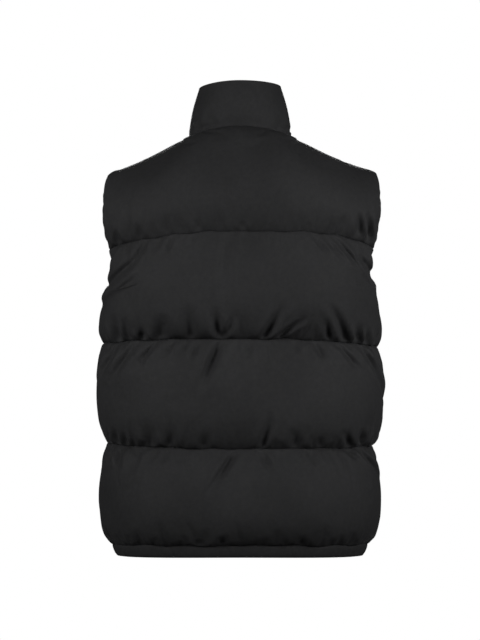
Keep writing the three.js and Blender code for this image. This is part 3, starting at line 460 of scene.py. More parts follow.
def placed_creases(name, points):
    """Depth of the creases that are placed by x and z. Each has a swell below it."""
    depth = np.zeros(points.shape[:-1])
    for piece, start, end, width, most, swell in PLACED_CREASES:
        if piece != name:
            continue
        run = np.array(end, float) - np.array(start)
        length = np.hypot(*run)
        run = run / length
        across = np.array([run[1], -run[0]])
        across = -across if across[1] > 0 else across
        dx, dz = points[..., 0] - start[0], points[..., 2] - start[1]
        way = (dx * run[0] + dz * run[1]) / length
        off = (dx * across[0] + dz * across[1]) / width
        shape = np.exp(-(off**2)) - swell * np.exp(-(((off - RIDGE_PLACE) / 1.2) ** 2))
        depth += most * shape * smoothstep(way, -0.15, 0.35) * (1 - smoothstep(way, 0.8, 1.3))
    return depth


def rounding(distance, reach=EDGE_ROUNDING):
    return np.sqrt(1 - (1 - np.clip(distance / reach, 0, 1)) ** 2)


def puff_profile(s):
    """A puff is steeper at its lower seam than at its upper one."""
    return np.clip(np.sin(np.pi * np.clip(s, 0, 1) ** LOW_STEEPNESS), 0, 1) ** PUFF_ROUNDNESS


def seam_tucks(seam, face, goes):
    """Small uneven tucks along a seam, as place, width, lean, reach and strength."""
    tucks = []
    at = -TUCKED_HALF
    while at < TUCKED_HALF:
        seed = 5.3 * at + 17 * seam + (0 if face == BACK else 61) + (0 if goes == "up" else 29)
        at += lerp(*TUCK_STEPS, uneven(seed))
        towards_side = smoothstep(abs(at), 40, 190)
        strength = lerp(0.35, 0.8, towards_side) * (0.25 + 0.75 * uneven(seed + 1) ** 1.5)
        reach = lerp(*TUCK_REACHES, uneven(seed + 2) ** 2)
        width = lerp(*TUCK_WIDTHS, uneven(seed + 3))
        tucks.append((at, width, 0.8 * (uneven(seed + 4) - 0.5), reach, strength))
    return tucks


def tucked(tucks, along, away):
    """Share of the puff that the tucks leave at a place."""
    taken = np.zeros_like(along)
    for at, width, lean, reach, strength in tucks:
        near = np.abs(along - at) < 4 * width + 40
        offset = (along - at - lean * away) / width
        taken += np.where(near, strength * np.exp(-(offset**2) - away / reach), 0)
    return 1 - TUCK_DEPTH * np.tanh(taken)


def row_shares(height, crown):
    """Rows that lie at even steps along the puff's profile."""
    s = np.linspace(0, 1, 2001)
    steps = np.hypot(np.diff(s) * height, np.diff(crown * puff_profile(s)))
    length = np.concatenate([[0], np.cumsum(steps)])
    return np.interp(np.linspace(0, length[-1], ROWS + 1), length, s)


def part_name(face, side):
    return "back" if face == BACK else "front_left" if side == LEFT else "front_right"


def columns(face, side, count):
    """Side and share h of each column of a panel, from left to right seen from outside."""
    ramp = np.linspace(0, 1, count + 1)
    if face == FRONT:
        return np.full(len(ramp), side), ramp if side == RIGHT else ramp[::-1]
    sides = np.concatenate([np.full(len(ramp), LEFT), np.full(len(ramp) - 1, RIGHT)])
    return sides, np.concatenate([ramp, ramp[::-1][1:]])


class Panel:
    """One baffle of the back or of a front, as grids of points [row, column] seen from outside, with
    columns to the right and rows upwards."""

    def __init__(self, face, side, baffle):
        self.face, self.baffle, self.seam = face, baffle, baffle["seam"]
        self.height = YOKE_HEIGHT if self.seam == YOKE else BAFFLE_HEIGHT
        self.name = part_name(face, side) + "_" + baffle["name"]
        rows = row_shares(self.height, baffle["back"] - SEAM_WALL)
        if self.seam == CHEST:
            clear = [s for s in rows if not UNDERARM_ROWS[0] - 0.008 < s < UNDERARM_ROWS[-1] + 0.008]
            rows = np.sort(np.array(clear + list(UNDERARM_ROWS)))
            if len(rows) % 2 == 0:
                rows = np.delete(rows, len(rows) - 3)
        self.rows = lerp(SEAM_GAP / 2 / self.height, 1 - SEAM_GAP / 2 / self.height, rows)
        self.sides, self.h = columns(face, side, COLUMNS_HALF)
        self.folds = BACK_FOLDS if face == BACK else front_folds(side)
        self.measure()

    def measure(self):
        s, h = np.meshgrid(self.rows, self.h, indexing="ij")
        side = np.broadcast_to(self.sides, h.shape).astype(float).copy()
        self.inside = inside_point(side, self.face, self.seam, h, s)
        self.out = outward(side, self.face, self.seam, h, s)
        edge = inside_point(side, self.face, self.seam, np.zeros_like(h), s)
        self.edge_y = np.abs(edge[..., 1])
        self.span = np.full_like(h, YOKE_SPAN) if self.seam == YOKE else BODY_SPAN - self.edge_y
        self.along = side * (1 - h) * self.span
        self.fade = 1 if self.seam == YOKE else smoothstep(h * self.span + self.edge_y, 0, SIDE_FADE)
        self.wall, self.puff = self.thickness(side, h, s, edge)
        self.crease = fold_depth(self.folds, self.seam, "up", self.along, s * self.height)
        if self.seam != YOKE:
            away = (1 - s) * self.height
            self.crease = self.crease + fold_depth(self.folds, self.seam + 1, "down", self.along, away)
        # a fold fades where the wall is thin, so that it never reaches the inside
        self.crease = self.fade * self.crease * np.clip(self.puff / 9, 0.2, 1)
        self.crease = self.crease + self.fade * placed_creases(self.name, self.inside)

    def thickness(self, side, h, s, edge):
        baffle, yoke = self.baffle, self.seam == YOKE
        middle = baffle["back"] if self.face == BACK else baffle["front"]
        share = h if yoke else 1 - np.abs(self.along) / BODY_SPAN
        fullest = lerp(baffle["side"], middle, smoothstep(share, 0, 0.7))
        top = lerp(SHOULDER_WALL, NECK_WALL, smoothstep(h, 0.5, 0.62)) if yoke else SEAM_WALL
        wall = lerp(SEAM_WALL, top, s)
        puff = (fullest - wall) * puff_profile(s)
        left = tucked(seam_tucks(self.seam, self.face, "up"), self.along, s * self.height)
        if not yoke:
            tucks = seam_tucks(self.seam + 1, self.face, "down")
            left = left * tucked(tucks, self.along, (1 - s) * self.height)
        puff = puff * lerp(1, left, self.fade)
        lump = np.sin(self.along / 31 + self.seam * 2.1) * np.sin(s * 5 + self.seam)
        puff = puff + 0.9 * self.fade * (lump + np.sin(self.along / 17 + self.seam)) * np.sin(np.pi * s)
        from_edge = h * self.span
        if yoke:
            puff = puff * rounding(from_edge)
        else:
            from_side = from_edge + self.edge_y
            puff = puff * lerp(SIDE_SEAM_SHARE, 1, rounding(from_side))
        if self.seam == CHEST:
            from_edge = self.from_armhole(side, from_side)
            inward = smoothstep(from_side, 0, UNDERARM_TAPER)
            downward = smoothstep(UNDERARM_Z - edge[..., 2], 0, UNDERARM_TAPER)
            puff = puff * lerp(UNDERARM_SHARE, 1, 1 - (1 - inward) * (1 - downward)) * rounding(from_edge)
        if self.face == FRONT:
            puff = puff * rounding(np.abs(self.inside[..., 0]) - ZIP_HALF)
        if self.seam in (CHEST, YOKE):
            wall = lerp(EDGE_WALL, wall, rounding(from_edge))
        return wall, puff

    def from_armhole(self, side, from_side):
        """Distance from the armhole's edge, for the places of a chest baffle."""
        least = np.full_like(from_side, np.inf)
        for share in np.linspace(0, 1, 100) ** 2:
            z = lerp(UNDERARM_Z, seam_height(YOKE, side, self.face, 0), share)
            reach = armhole_reach(self.face, side, z)
            least = np.minimum(least, np.hypot(from_side - reach, self.inside[..., 2] - z))
        return least

    def surface(self, thick):
        """The outside of the wall. The fuller a puff is, the further it hangs down."""
        points = self.inside + self.out * thick[..., None]
        points[..., 2] -= SAG * (np.clip(thick - SEAM_WALL, 0, 40) / FULL_PUFF) ** 1.2
        return points

    def smooth_outside(self):
        return self.surface(self.wall + self.puff)

    def creased_outside(self):
        return self.surface(np.maximum(LEAST_WALL, self.wall + self.puff - self.crease))


class Collar:
    """The stand collar as grids of points, from the zip on the wearer's left round the back."""

    name = "collar"
    COLUMNS = 30  # in each quarter
    ROWS = 26
    FOLDS = [  # along the seam from the back's middle, in the same order as BACK_FOLDS
        (36, 4, 8, 20, 2.2), (52, -6, 8, 26, 2.6), (66, 6, 9, 34, 2.4), (20, -4, 10, 14, 1.2),
        (-58, -6, 9, 22, 2.4), (-74, 4, 9, 30, 1.8), (-22, 3, 11, 16, 1.0), (120, 8, 10, 30, 2.2),
        (148, -6, 9, 26, 2.0), (-112, -8, 10, 32, 2.2), (-140, 6, 9, 24, 2.0),
    ]

    def __init__(self):
        ramp = np.linspace(0, 1, self.COLUMNS + 1)
        quarters = [(LEFT, FRONT, ramp[::-1]), (LEFT, BACK, ramp[1:])]
        quarters += [(RIGHT, BACK, ramp[::-1][1:]), (RIGHT, FRONT, ramp[1:])]
        self.sides = np.concatenate([np.full(len(r), s) for s, _, r in quarters]).astype(float)
        self.faces = np.concatenate([np.full(len(r), f) for _, f, r in quarters]).astype(float)
        self.around = np.concatenate([r for _, _, r in quarters])
        rise = np.linspace(0, 1, self.ROWS + 1)
        self.rows = np.interp(rise, [0, 0.8, 1], [0, 0.86, 1])
        s, around = np.meshgrid(self.rows, self.around, indexing="ij")
        side = np.broadcast_to(self.sides, s.shape)
        face = np.broadcast_to(self.faces, s.shape)
        self.inside = collar_inside(side, face, around, s)
        self.out = collar_direction(side, face, around, s)
        self.thick = collar_thickness(face, around, s)
        base = self.inside[0]
        length = np.concatenate([[0], np.cumsum(np.linalg.norm(np.diff(base, axis=0), axis=-1))])
        self.along = (length[len(length) // 2] - length)[None, :] + np.zeros_like(s)
        height = np.linalg.norm(self.inside[-1] - self.inside[0], axis=-1)[None, :] * s
        self.crease = np.zeros_like(s)
        for at, lean, width, reach, depth in self.FOLDS:
            middle = at + lean * np.minimum(height / reach, 1)
            trough = fold_trough(np.abs(self.along - middle) / (width / 2 + 1.5))
            end = 1 - smoothstep(height, 0.4 * reach, 1.4 * reach)
            self.crease += depth * trough * smoothstep(height, -1, 5) * end
        self.crease *= 1 - smoothstep(s, 0.8, 1)
        self.crease += np.where(face > 0, placed_creases(self.name, self.inside), 0)

    def surface(self, thick):
        return self.inside + self.out * thick[..., None]

    def smooth_outside(self):
        return self.surface(self.thick)

    def creased_outside(self):
        wave = 0.5 * np.sin(self.along / 23 + 1) + 0.4 * np.sin(self.along / 11 + 6 * self.rows[:, None])
        return self.surface(self.thick - self.crease + wave * np.sin(np.pi * self.rows[:, None]))


def collar_inside(side, face, around, s):
    bottom = collar_seam_point(side, face, around)
    back = face > 0
    end_y = np.where(back, COLLAR_TOP_BACK["y"], COLLAR_TOP_FRONT["y"])
    end_z = np.where(back, COLLAR_TOP_BACK["z"], COLLAR_TOP_FRONT["z"])
    angle = around * np.where(back, math.pi / 2, math.acos(ZIP_HALF / COLLAR_TOP_HALF))
    side_z = np.where(np.asarray(side) > 0, COLLAR_TOP_SIDE_Z["left"], COLLAR_TOP_SIDE_Z["right"])
    top_z = lerp(side_z, end_z, np.sin(angle) ** 2)
    top = np.stack([side * COLLAR_TOP_HALF * np.cos(angle), end_y * np.sin(angle), top_z], -1)
    return lerp(bottom, top, s[..., None])


def collar_direction(side, face, around, s):
    angle = around * (math.pi / 2)
    flat = unit(np.stack([side * np.cos(angle), face * np.sin(angle), np.full_like(angle, 0.12)], -1))
    seam = collar_seam_direction(side, face, around)
    return unit(lerp(seam, flat, smoothstep(s, 0, 0.3)[..., None]))


def collar_thickness(face, around, s):
    top_fold = np.sqrt(1 - smoothstep(s, 0.82, 1) ** 2)
    thick = lerp(NECK_WALL, COLLAR_TOP_WALL, smoothstep(s, 0.3, 1)) + COLLAR_PUFF * np.sin(np.pi * s)
    thick = lerp(COLLAR_TOP_WALL, thick, top_fold)
    return np.where(face < 0, thick * lerp(1, 0.75, smoothstep(around, 0.75, 1)), thick)


# Making of meshes


def new_piece(name, mesh, body="garment"):
    piece = bpy.data.objects.new(name, mesh)
    bpy.context.scene.collection.objects.link(piece)
    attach(piece, body)
    return piece


def arc_lengths(grid, axis):
    steps = np.linalg.norm(np.diff(grid, axis=axis), axis=-1)
    start = np.zeros_like(np.take(steps, [0], axis))
    return np.concatenate([start, np.cumsum(steps, axis)], axis)


def border_loop(grid_numbers):
    """Numbers of a grid's border, anticlockwise seen from outside, from the lower left corner."""
    g = grid_numbers
    return np.concatenate([g[0, :-1], g[:-1, -1], g[-1, :0:-1], g[:0:-1, 0]])


def wall_mesh(name, outer, inner, bulge, sewn):
    """A closed padded wall. outer is a grid of points, inner one with half as many cells each way.
    bulge rounds the wall's border and sewn says where it is sewn to a neighbour, both as arrays over
    the inner grid; a sewn border stays where it is when the mesh is subdivided."""
    outer_number = np.arange(outer[..., 0].size).reshape(outer.shape[:2])
    inner_number = np.arange(inner[..., 0].size).reshape(inner.shape[:2]) + outer_number.size
    loop_out, loop_in = border_loop(outer_number), border_loop(inner_number)
    points = np.concatenate([outer.reshape(-1, 3), inner.reshape(-1, 3)])
    even = loop_out[::2]
    tangent = unit(points[np.roll(loop_out, -1)[::2]] - points[np.roll(loop_out, 1)[::2]])
    away = unit(np.cross(tangent, unit(points[even] - points[loop_in])))
    amount = border_loop(bulge)
    middle = (points[even] + points[loop_in]) / 2 + away * amount[:, None]
    first_middle = len(points)
    points = np.concatenate([points, middle])
    loop_mid = np.arange(len(even)) + first_middle

    u = arc_lengths(outer, 1)
    u = u - u[:, [u.shape[1] // 2]]
    v = arc_lengths(outer, 0)
    uv = np.zeros((len(points), 2))
    uv[: outer_number.size] = np.stack([u, v], -1).reshape(-1, 2)
    uv[outer_number.size : first_middle] = np.stack([u[::2, ::2] + 3000, v[::2, ::2]], -1).reshape(-1, 2)
    uv_out = uv[even]
    reach = np.linalg.norm(points[even] - middle, axis=-1)
    turn = np.stack([uv_out[:, 0], uv_out[:, 1] - reach], -1)
    uv[loop_mid] = turn

    quads = []
    for number, flipped in ((outer_number, False), (inner_number, True)):
        a, b, d, e = number[:-1, :-1], number[:-1, 1:], number[1:, :-1], number[1:, 1:]
        order = (a, d, e, b) if flipped else (a, b, e, d)
        quads.append(np.stack(order, -1).reshape(-1, 4))
    faces = [tuple(face) for face in np.concatenate(quads).tolist()]
    count = len(even)
    rim_start = len(faces)
    for k in range(count):
        n = (k + 1) % count
        outside = (loop_out[(2 * k + 2) % (2 * count)], loop_out[2 * k + 1], loop_out[2 * k])
        faces.append((*outside, loop_mid[k], loop_mid[n]))
        faces.append((loop_mid[n], loop_mid[k], loop_in[k], loop_in[n]))
    mesh = bpy.data.meshes.new(name)
    mesh.from_pydata((points * MM).tolist(), [], [tuple(int(i) for i in face) for face in faces])
    corners = np.zeros(len(mesh.loops), int)
    mesh.loops.foreach_get("vertex_index", corners)
    corner_uv = uv[corners]
    # the inner half of the border carries on from its outer half
    below = dict(zip(loop_in.tolist(), (turn - np.stack([np.zeros(count), reach], -1)).tolist()))
    for index in range(rim_start + 1, len(mesh.polygons), 2):
        for corner in mesh.polygons[index].loop_indices:
            if int(corners[corner]) in below:
                corner_uv[corner] = below[int(corners[corner])]
    layer = mesh.uv_layers.new(name="cloth")
    layer.data.foreach_set("uv", (corner_uv * MM).ravel())
    held = border_loop(sewn).astype(bool)
    on_out = np.zeros(len(points), bool)
    on_out[even[held]] = True
    both = held & np.roll(held, -1)
    on_out[loop_out[1::2][both]] = True
    on_in = np.zeros(len(points), bool)
    on_in[loop_in[held]] = True
    edges = np.zeros(len(mesh.edges) * 2, int)
    mesh.edges.foreach_get("vertices", edges)
    edges = edges.reshape(-1, 2)
    crease = (on_out[edges].all(1) | on_in[edges].all(1)).astype(float)
    mesh.attributes.new("crease_edge", "FLOAT", "EDGE").data.foreach_set("value", crease)
    mesh.shade_smooth()
    return mesh


def padded_piece(name, mesh, node):
    """A wall as a padded piece that stands for a node, with its mesh subdivided once."""
    piece = new_piece(name, mesh)
    modifier = piece.modifiers.new("smooth", "SUBSURF")
    modifier.levels = modifier.render_levels = 1
    modifier.use_limit_surface = False
    apply_modifiers(piece)
    piece.data.materials.append(SHELL)
    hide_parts(node)


def apply_modifiers(piece):
    graph = bpy.context.evaluated_depsgraph_get()
    mesh = bpy.data.meshes.new_from_object(piece.evaluated_get(graph), depsgraph=graph)
    old = piece.data
    piece.modifiers.clear()
    piece.data = mesh
    bpy.data.meshes.remove(old)
    mesh.name = piece.name


def crown_outside(panel):
    """The panel's cloth if it stood everywhere as far out as where it is fullest: the width it is cut to."""
    fullest = (panel.wall + panel.puff).max(axis=0, keepdims=True)
    return panel.inside + panel.out * fullest[..., None]


def spare_cloth(panel):
    """How much larger the outer cloth is cut than it lies at each point, as a share. It is cut as wide as
    where it is fullest, so most of the spare cloth is gathered up along the seams."""
    cut = np.linalg.norm(np.gradient(crown_outside(panel), axis=1), axis=-1)
    own = np.linalg.norm(np.gradient(panel.smooth_outside(), axis=1), axis=-1)
    return np.clip(GATHER_SHARE * (cut / own - 1), 0, MOST_SPARE)


def vertex_group(cloth, name, weights):
    group = cloth.vertex_groups.new(name=name)
    steps = np.round(weights.ravel(), 3)
    for value in np.unique(steps):
        group.add(np.where(steps == value)[0].tolist(), float(value), "REPLACE")


def relaxed(shapes):
    """Runs the outer cloths as Blender's Cloth, all together, and gives how far each point moved.
    Every shape is a name, the cloth as it starts, its spare cloth and how firmly the padding holds it."""
    scene = bpy.context.scene
    cloths = []
    for name, start, spare, hold in shapes:
        number = np.arange(start[..., 0].size).reshape(start.shape[:2])
        a, b, d, e = number[:-1, :-1], number[:-1, 1:], number[1:, :-1], number[1:, 1:]
        mesh = bpy.data.meshes.new(name)
        faces = np.stack((a, b, e, d), -1).reshape(-1, 4).tolist()
        mesh.from_pydata((start.reshape(-1, 3) * MM).tolist(), [], faces)
        cloth = bpy.data.objects.new(name, mesh)
        scene.collection.objects.link(cloth)
        vertex_group(cloth, "held", hold)
        vertex_group(cloth, "not_spare", 1 - spare / MOST_SPARE)
        modifier = cloth.modifiers.new("cloth", "CLOTH")
        for key, value in CLOTH.items():
            setattr(modifier.settings, key, value)
        modifier.settings.effector_weights.gravity = 0
        modifier.collision_settings.use_collision = False
        modifier.collision_settings.use_self_collision = False
        modifier.point_cache.frame_start = 1
        modifier.point_cache.frame_end = SIM_FRAMES
        cloths.append(cloth)
    for frame_number in range(1, SIM_FRAMES + 1):
        scene.frame_set(frame_number)
    graph = bpy.context.evaluated_depsgraph_get()
    moves = []
    for cloth, (_, start, _, _) in zip(cloths, shapes):
        found = np.zeros(start.size)
        cloth.evaluated_get(graph).data.vertices.foreach_get("co", found)
        moves.append(found.reshape(start.shape) / MM - start)
    for cloth in cloths:
        mesh = cloth.data
        bpy.data.objects.remove(cloth)
        bpy.data.meshes.remove(mesh)
    scene.frame_set(1)
    return moves


def border_of(grid):
    edge = np.zeros(grid.shape[:2], bool)
    edge[[0, -1]] = True
    edge[:, [0, -1]] = True
    return edge


def softened(move):
    """A little of each point's neighbours, but nothing at the border."""
    middle = 0.5 * move[1:-1, 1:-1]
    around = move[:-2, 1:-1] + move[2:, 1:-1] + move[1:-1, :-2] + move[1:-1, 2:]
    out = move.copy()
    out[1:-1, 1:-1] = middle + around / 8
    return out


def limited(move, most):
    """A move, kept short of a length by degrees."""
    length = np.maximum(np.linalg.norm(move, axis=-1, keepdims=True), 1e-6)
    return move * (most * np.tanh(length / most) / length)


def panel_wall(panel, outer):
    """The wall of one baffle round its outer cloth."""
    s, h = np.meshgrid(panel.rows[::2], panel.h[::2], indexing="ij")
    quilt = 4.0 * puff_profile(s) * rounding(h * panel.span[::2, ::2], 18)
    if panel.face == FRONT:
        quilt = quilt * rounding(np.abs(panel.inside[::2, ::2, 0]) - ZIP_HALF, 14)
    quilt = np.clip(quilt - 0.35 * panel.crease[::2, ::2], 0, None)
    inner = panel.inside[::2, ::2] - panel.out[::2, ::2] * quilt[..., None]
    sewn = np.zeros(s.shape)
    sewn[[0, -1]] = 1
    bulge = np.zeros(s.shape)
    at_side = h == 0
    side_seam = at_side & (panel.edge_y[::2, ::2] <= SEAM_GAP)
    sewn[at_side] = side_seam[at_side]
    bulge[at_side & ~side_seam] = RIM_BULGE
    if panel.face == FRONT:
        at_zip = h == 1
        sewn[at_zip] = 0
        bulge[at_zip] = 1.0
    bulge[[0, -1]] = 0
    return wall_mesh(panel.name, outer, inner, bulge, sewn)


def collar_wall(collar, outer):
    inner = collar.inside[::2, ::2]
    quilt = 1.5 * np.sin(np.pi * collar.rows[::2, None]) - 0.3 * collar.crease[::2, ::2]
    inner = inner - collar.out[::2, ::2] * np.clip(quilt, 0, None)[..., None]
    sewn = np.zeros(inner.shape[:2])
    sewn[0] = 1
    bulge = np.zeros(inner.shape[:2])
    bulge[-1] = 1.6
    bulge[1:, [0, -1]] = 0.8
    return wall_mesh("collar", outer, inner, bulge, sewn)


HEM_ROWS = 8
HEM_COLUMNS_HALF = 120
HEM_PUCKER = 0.5
HEM_THICKNESS = ((0, 0.12, 0.3, 0.6, 0.85, 1), (1.6, 3.2, 4.0, 4.6, 4.9, 4.2))


def hem_band(face, side):
    """Band under the lowest baffle, folded over at its lower edge and slightly gathered at its seam."""
    name = "hem_band_" + part_name(face, side)
    sides, h = columns(face, side, HEM_COLUMNS_HALF)
    s, h = np.meshgrid(np.linspace(0, 1, HEM_ROWS + 1), h, indexing="ij")
    side = np.broadcast_to(sides, s.shape).astype(float).copy()
    inside = inside_point(side, face, 0, h, s)
    out = outward(side, face, 0, h, s)
    thick = np.interp(s, *HEM_THICKNESS)
    along = side * (1 - h) * BODY_SPAN
    pucker = np.sin(along / 1.9 + 1.5 * np.sin(along / 13)) * np.sin(along / 29 + 1) ** 2
    pucker = pucker + 0.6 * np.sin(along / 5.3 + 2 * np.sin(along / 37))
    thick = thick + HEM_PUCKER * pucker * np.sin(np.pi * s) ** 0.7
    inner = inside[::2, ::2]
    sewn = np.zeros(inner.shape[:2])
    sewn[-1] = 1
    bulge = np.zeros(inner.shape[:2])
    bulge[0] = 1.0
    return name, wall_mesh(name, inside + out * thick[..., None], inner, bulge, sewn)


# Stitches and zip teeth


def tube_faces(first, count, rings, turned):
    """Faces of a closed tube, given as its first point, how many points a ring has and how many rings."""
    faces = []
    for start in range(first, first + (rings - 1) * count, count):
        for k in range(count):
            n = (k + 1) % count
            a, b = (n, k) if turned else (k, n)
            faces.append((start + a, start + b, start + b + count, start + a + count))
    last = first + (rings - 1) * count
    low, high = tuple(range(first, first + count)), tuple(range(last, last + count))
    return faces + ([low, high[::-1]] if turned else [low[::-1], high])


def resample(points, pitch):
    """Even places along a line, with the direction of the line there."""
    steps = np.linalg.norm(np.diff(points, axis=0), axis=1)
    length = np.concatenate([[0], np.cumsum(steps)])
    places = np.arange(pitch / 2, length[-1], pitch)
    spots = np.stack([np.interp(places, length, points[:, k]) for k in range(3)], -1)
    ahead = np.stack([np.interp(places + 0.3, length, points[:, k]) for k in range(3)], -1)
    behind = np.stack([np.interp(places - 0.3, length, points[:, k]) for k in range(3)], -1)
    return spots, unit(ahead - behind), places / length[-1]


STITCH_PITCH = 3.6
STITCH_LENGTH = 3.0
STITCH_RADIUS = 0.3
STITCH_RING = 6
STITCH_PROFILE = ((-0.5, 0.35, -0.22), (-0.3, 0.95, 0.06), (0.3, 0.95, 0.06), (0.5, 0.35, -0.22))


def stitches(name, lines):
    """Rows of stitches as one piece. A line is its points and the outward directions there."""
    points, faces = [], []
    turn = np.linspace(0, 2 * np.pi, STITCH_RING, endpoint=False)
    for line, directions in lines:
        spots, along, share = resample(line, STITCH_PITCH)
        key = np.linspace(0, 1, len(directions))
        out = unit(np.stack([np.interp(share, key, directions[:, k]) for k in range(3)], -1))
        out = unit(out - along * (out * along).sum(-1, keepdims=True))
        across = np.cross(along, out)
        for spot, ahead, up, sideways in zip(spots, along, out, across):
            first = len(points)
            for place, radius, rise in STITCH_PROFILE:
                centre = spot + ahead * place * STITCH_LENGTH + up * rise
                for angle in turn:
                    ring = sideways * math.cos(angle) + up * math.sin(angle)
                    points.append(centre + ring * radius * STITCH_RADIUS)
            faces += tube_faces(first, STITCH_RING, len(STITCH_PROFILE), True)
    mesh = bpy.data.meshes.new(name)
    mesh.from_pydata((np.array(points) * MM).tolist(), [], faces)
    mesh.shade_smooth()
    piece = new_piece(name, mesh)
    return piece


def seam_line(face, seam, s, thick):
    """A line round a face at one height, as points and outward directions."""
    ramp = np.linspace(0.004, 1, 160)
    if face == BACK:
        places = [(LEFT, ramp), (RIGHT, ramp[::-1][1:])]
    else:
        sides = [(LEFT, ramp[::-1])], [(RIGHT, ramp)]
        return [line_of(face, seam, s, thick, places) for places in sides]
    return [line_of(face, seam, s, thick, places)]


def line_of(face, seam, s, thick, places):
    side = np.concatenate([np.full(len(h), sign) for sign, h in places]).astype(float)
    h = np.concatenate([h for _, h in places])
    rows = np.full(len(h), float(s))
    out = outward(side[None], face, seam, h[None], rows[None])[0]
    return inside_point(side[None], face, seam, h[None], rows[None])[0] + out * thick, out


# Materials


def nodes_of(name):
    material = bpy.data.materials.new(name)
    material.use_nodes = True
    tree = material.node_tree
    return material, tree, tree.nodes["Principled BSDF"]


def add(tree, kind, inputs=None, **settings):
    node = tree.nodes.new("ShaderNode" + kind)
    for key, value in settings.items():
        setattr(node, key, value)
    for key, value in (inputs or {}).items():
        if isinstance(value, bpy.types.NodeSocket):
            tree.links.new(value, node.inputs[key])
        else:
            node.inputs[key].default_value = value
    return node


def math_node(tree, operation, a, b=0.0):
    return add(tree, "Math", {0: a, 1: b}, operation=operation).outputs[0]


def mapped(tree, value, low, high, to_low, to_high):
    inputs = {"Value": value, "From Min": low, "From Max": high, "To Min": to_low, "To Max": to_high}
    return add(tree, "MapRange", inputs).outputs["Result"]


def noise(tree, vector, scale, detail=3.0, roughness=0.5):
    inputs = {"Vector": vector, "Scale": scale, "Detail": detail, "Roughness": roughness}
    return add(tree, "TexNoise", inputs).outputs["Fac"]


def ramp(tree, value, stops):
    node = add(tree, "ValToRGB", {"Fac": value})
    band = node.color_ramp
    band.elements[0].position, band.elements[0].color = stops[0][0], (*stops[0][1], 1)
    band.elements[1].position, band.elements[1].color = stops[-1][0], (*stops[-1][1], 1)
    for position, colour in stops[1:-1]:
        band.elements.new(position).color = (*colour, 1)
    return node.outputs["Color"]


def bump(tree, height, strength, distance, before=None):
    inputs = {"Height": height, "Strength": strength, "Distance": distance}
    if before is not None:
        inputs["Normal"] = before
    return add(tree, "Bump", inputs).outputs["Normal"]


def weave(tree, coordinates, threads):
    """Height of a plain weave with that many threads to a metre."""
    parts = add(tree, "SeparateXYZ", {"Vector": coordinates}).outputs
    waves = []
    for part in ("X", "Y"):
        turn = math_node(tree, "MULTIPLY", parts[part], threads * math.pi)
        waves.append(math_node(tree, "ABSOLUTE", math_node(tree, "SINE", turn)))
    checks = add(tree, "TexChecker", {"Vector": coordinates, "Scale": float(threads)}).outputs["Fac"]
    over = math_node(tree, "MULTIPLY", waves[0], checks)
    under = math_node(tree, "MULTIPLY", waves[1], math_node(tree, "SUBTRACT", 1.0, checks))
    return math_node(tree, "ADD", over, under)


SHELL_COLOUR = (0.0290, 0.0290, 0.0300)
THREADS = 2600


def shell_material():
    """Black plain-woven polyester with a soft sheen, crumpled very slightly over its padding."""
    material, tree, shader = nodes_of("shell_cloth")
    place = add(tree, "TexCoord").outputs
    cloth = add(tree, "UVMap", uv_map="cloth").outputs["UV"]
    patches = noise(tree, place["Object"], 9.0, 4.0, 0.6)
    fine = noise(tree, place["Object"], 160.0, 4.0, 0.65)
    crumple = noise(tree, place["Object"], 55.0, 3.0, 0.55)
    threads = weave(tree, cloth, THREADS)
    broad = math_node(tree, "MULTIPLY", patches, 0.6)
    tone = math_node(tree, "ADD", broad, math_node(tree, "MULTIPLY", fine, 0.4))
    dark = tuple(0.78 * c for c in SHELL_COLOUR)
    light = tuple(1.28 * c for c in SHELL_COLOUR)
    colour = ramp(tree, tone, [(0.3, dark), (0.5, SHELL_COLOUR), (0.72, light)])
    shade = mapped(tree, threads, 0.0, 1.0, 0.8, 1.08)
    mixed = add(tree, "VectorMath", {0: colour, 1: shade}, operation="MULTIPLY").outputs[0]
    tree.links.new(mixed, shader.inputs["Base Color"])
    rough = math_node(tree, "ADD", patches, math_node(tree, "MULTIPLY", threads, 0.2))
    tree.links.new(mapped(tree, rough, 0.3, 1.0, 0.64, 0.80), shader.inputs["Roughness"])
    shader.inputs["Specular IOR Level"].default_value = 0.16
    soft = bump(tree, crumple, 0.35, 0.0012)
    small = bump(tree, fine, 0.22, 0.0004, soft)
    tree.links.new(bump(tree, threads, 0.3, 0.00006, small), shader.inputs["Normal"])
    return material


def tape_material():
    """Zip tape: ribs that run along it, crossed by a fine weft."""
    material, tree, shader = nodes_of("zip_tape_cloth")
    place = add(tree, "TexCoord").outputs["Object"]
    parts = add(tree, "SeparateXYZ", {"Vector": place}).outputs
    ribs = math_node(tree, "SINE", math_node(tree, "MULTIPLY", parts["X"], 6200.0))
    weft = math_node(tree, "SINE", math_node(tree, "MULTIPLY", parts["Z"], 9000.0))
    height = math_node(tree, "ADD", ribs, math_node(tree, "MULTIPLY", weft, 0.5))
    patches = noise(tree, place, 300.0)
    tone = math_node(tree, "ADD", math_node(tree, "MULTIPLY", height, 0.15), patches)
    colour = ramp(tree, tone, [(0.25, (0.009, 0.009, 0.010)), (0.8, (0.022, 0.022, 0.024))])
    tree.links.new(colour, shader.inputs["Base Color"])
    tree.links.new(mapped(tree, patches, 0.2, 0.8, 0.75, 0.9), shader.inputs["Roughness"])
    shader.inputs["Specular IOR Level"].default_value = 0.3
    tree.links.new(bump(tree, height, 0.5, 0.0001), shader.inputs["Normal"])
    return material


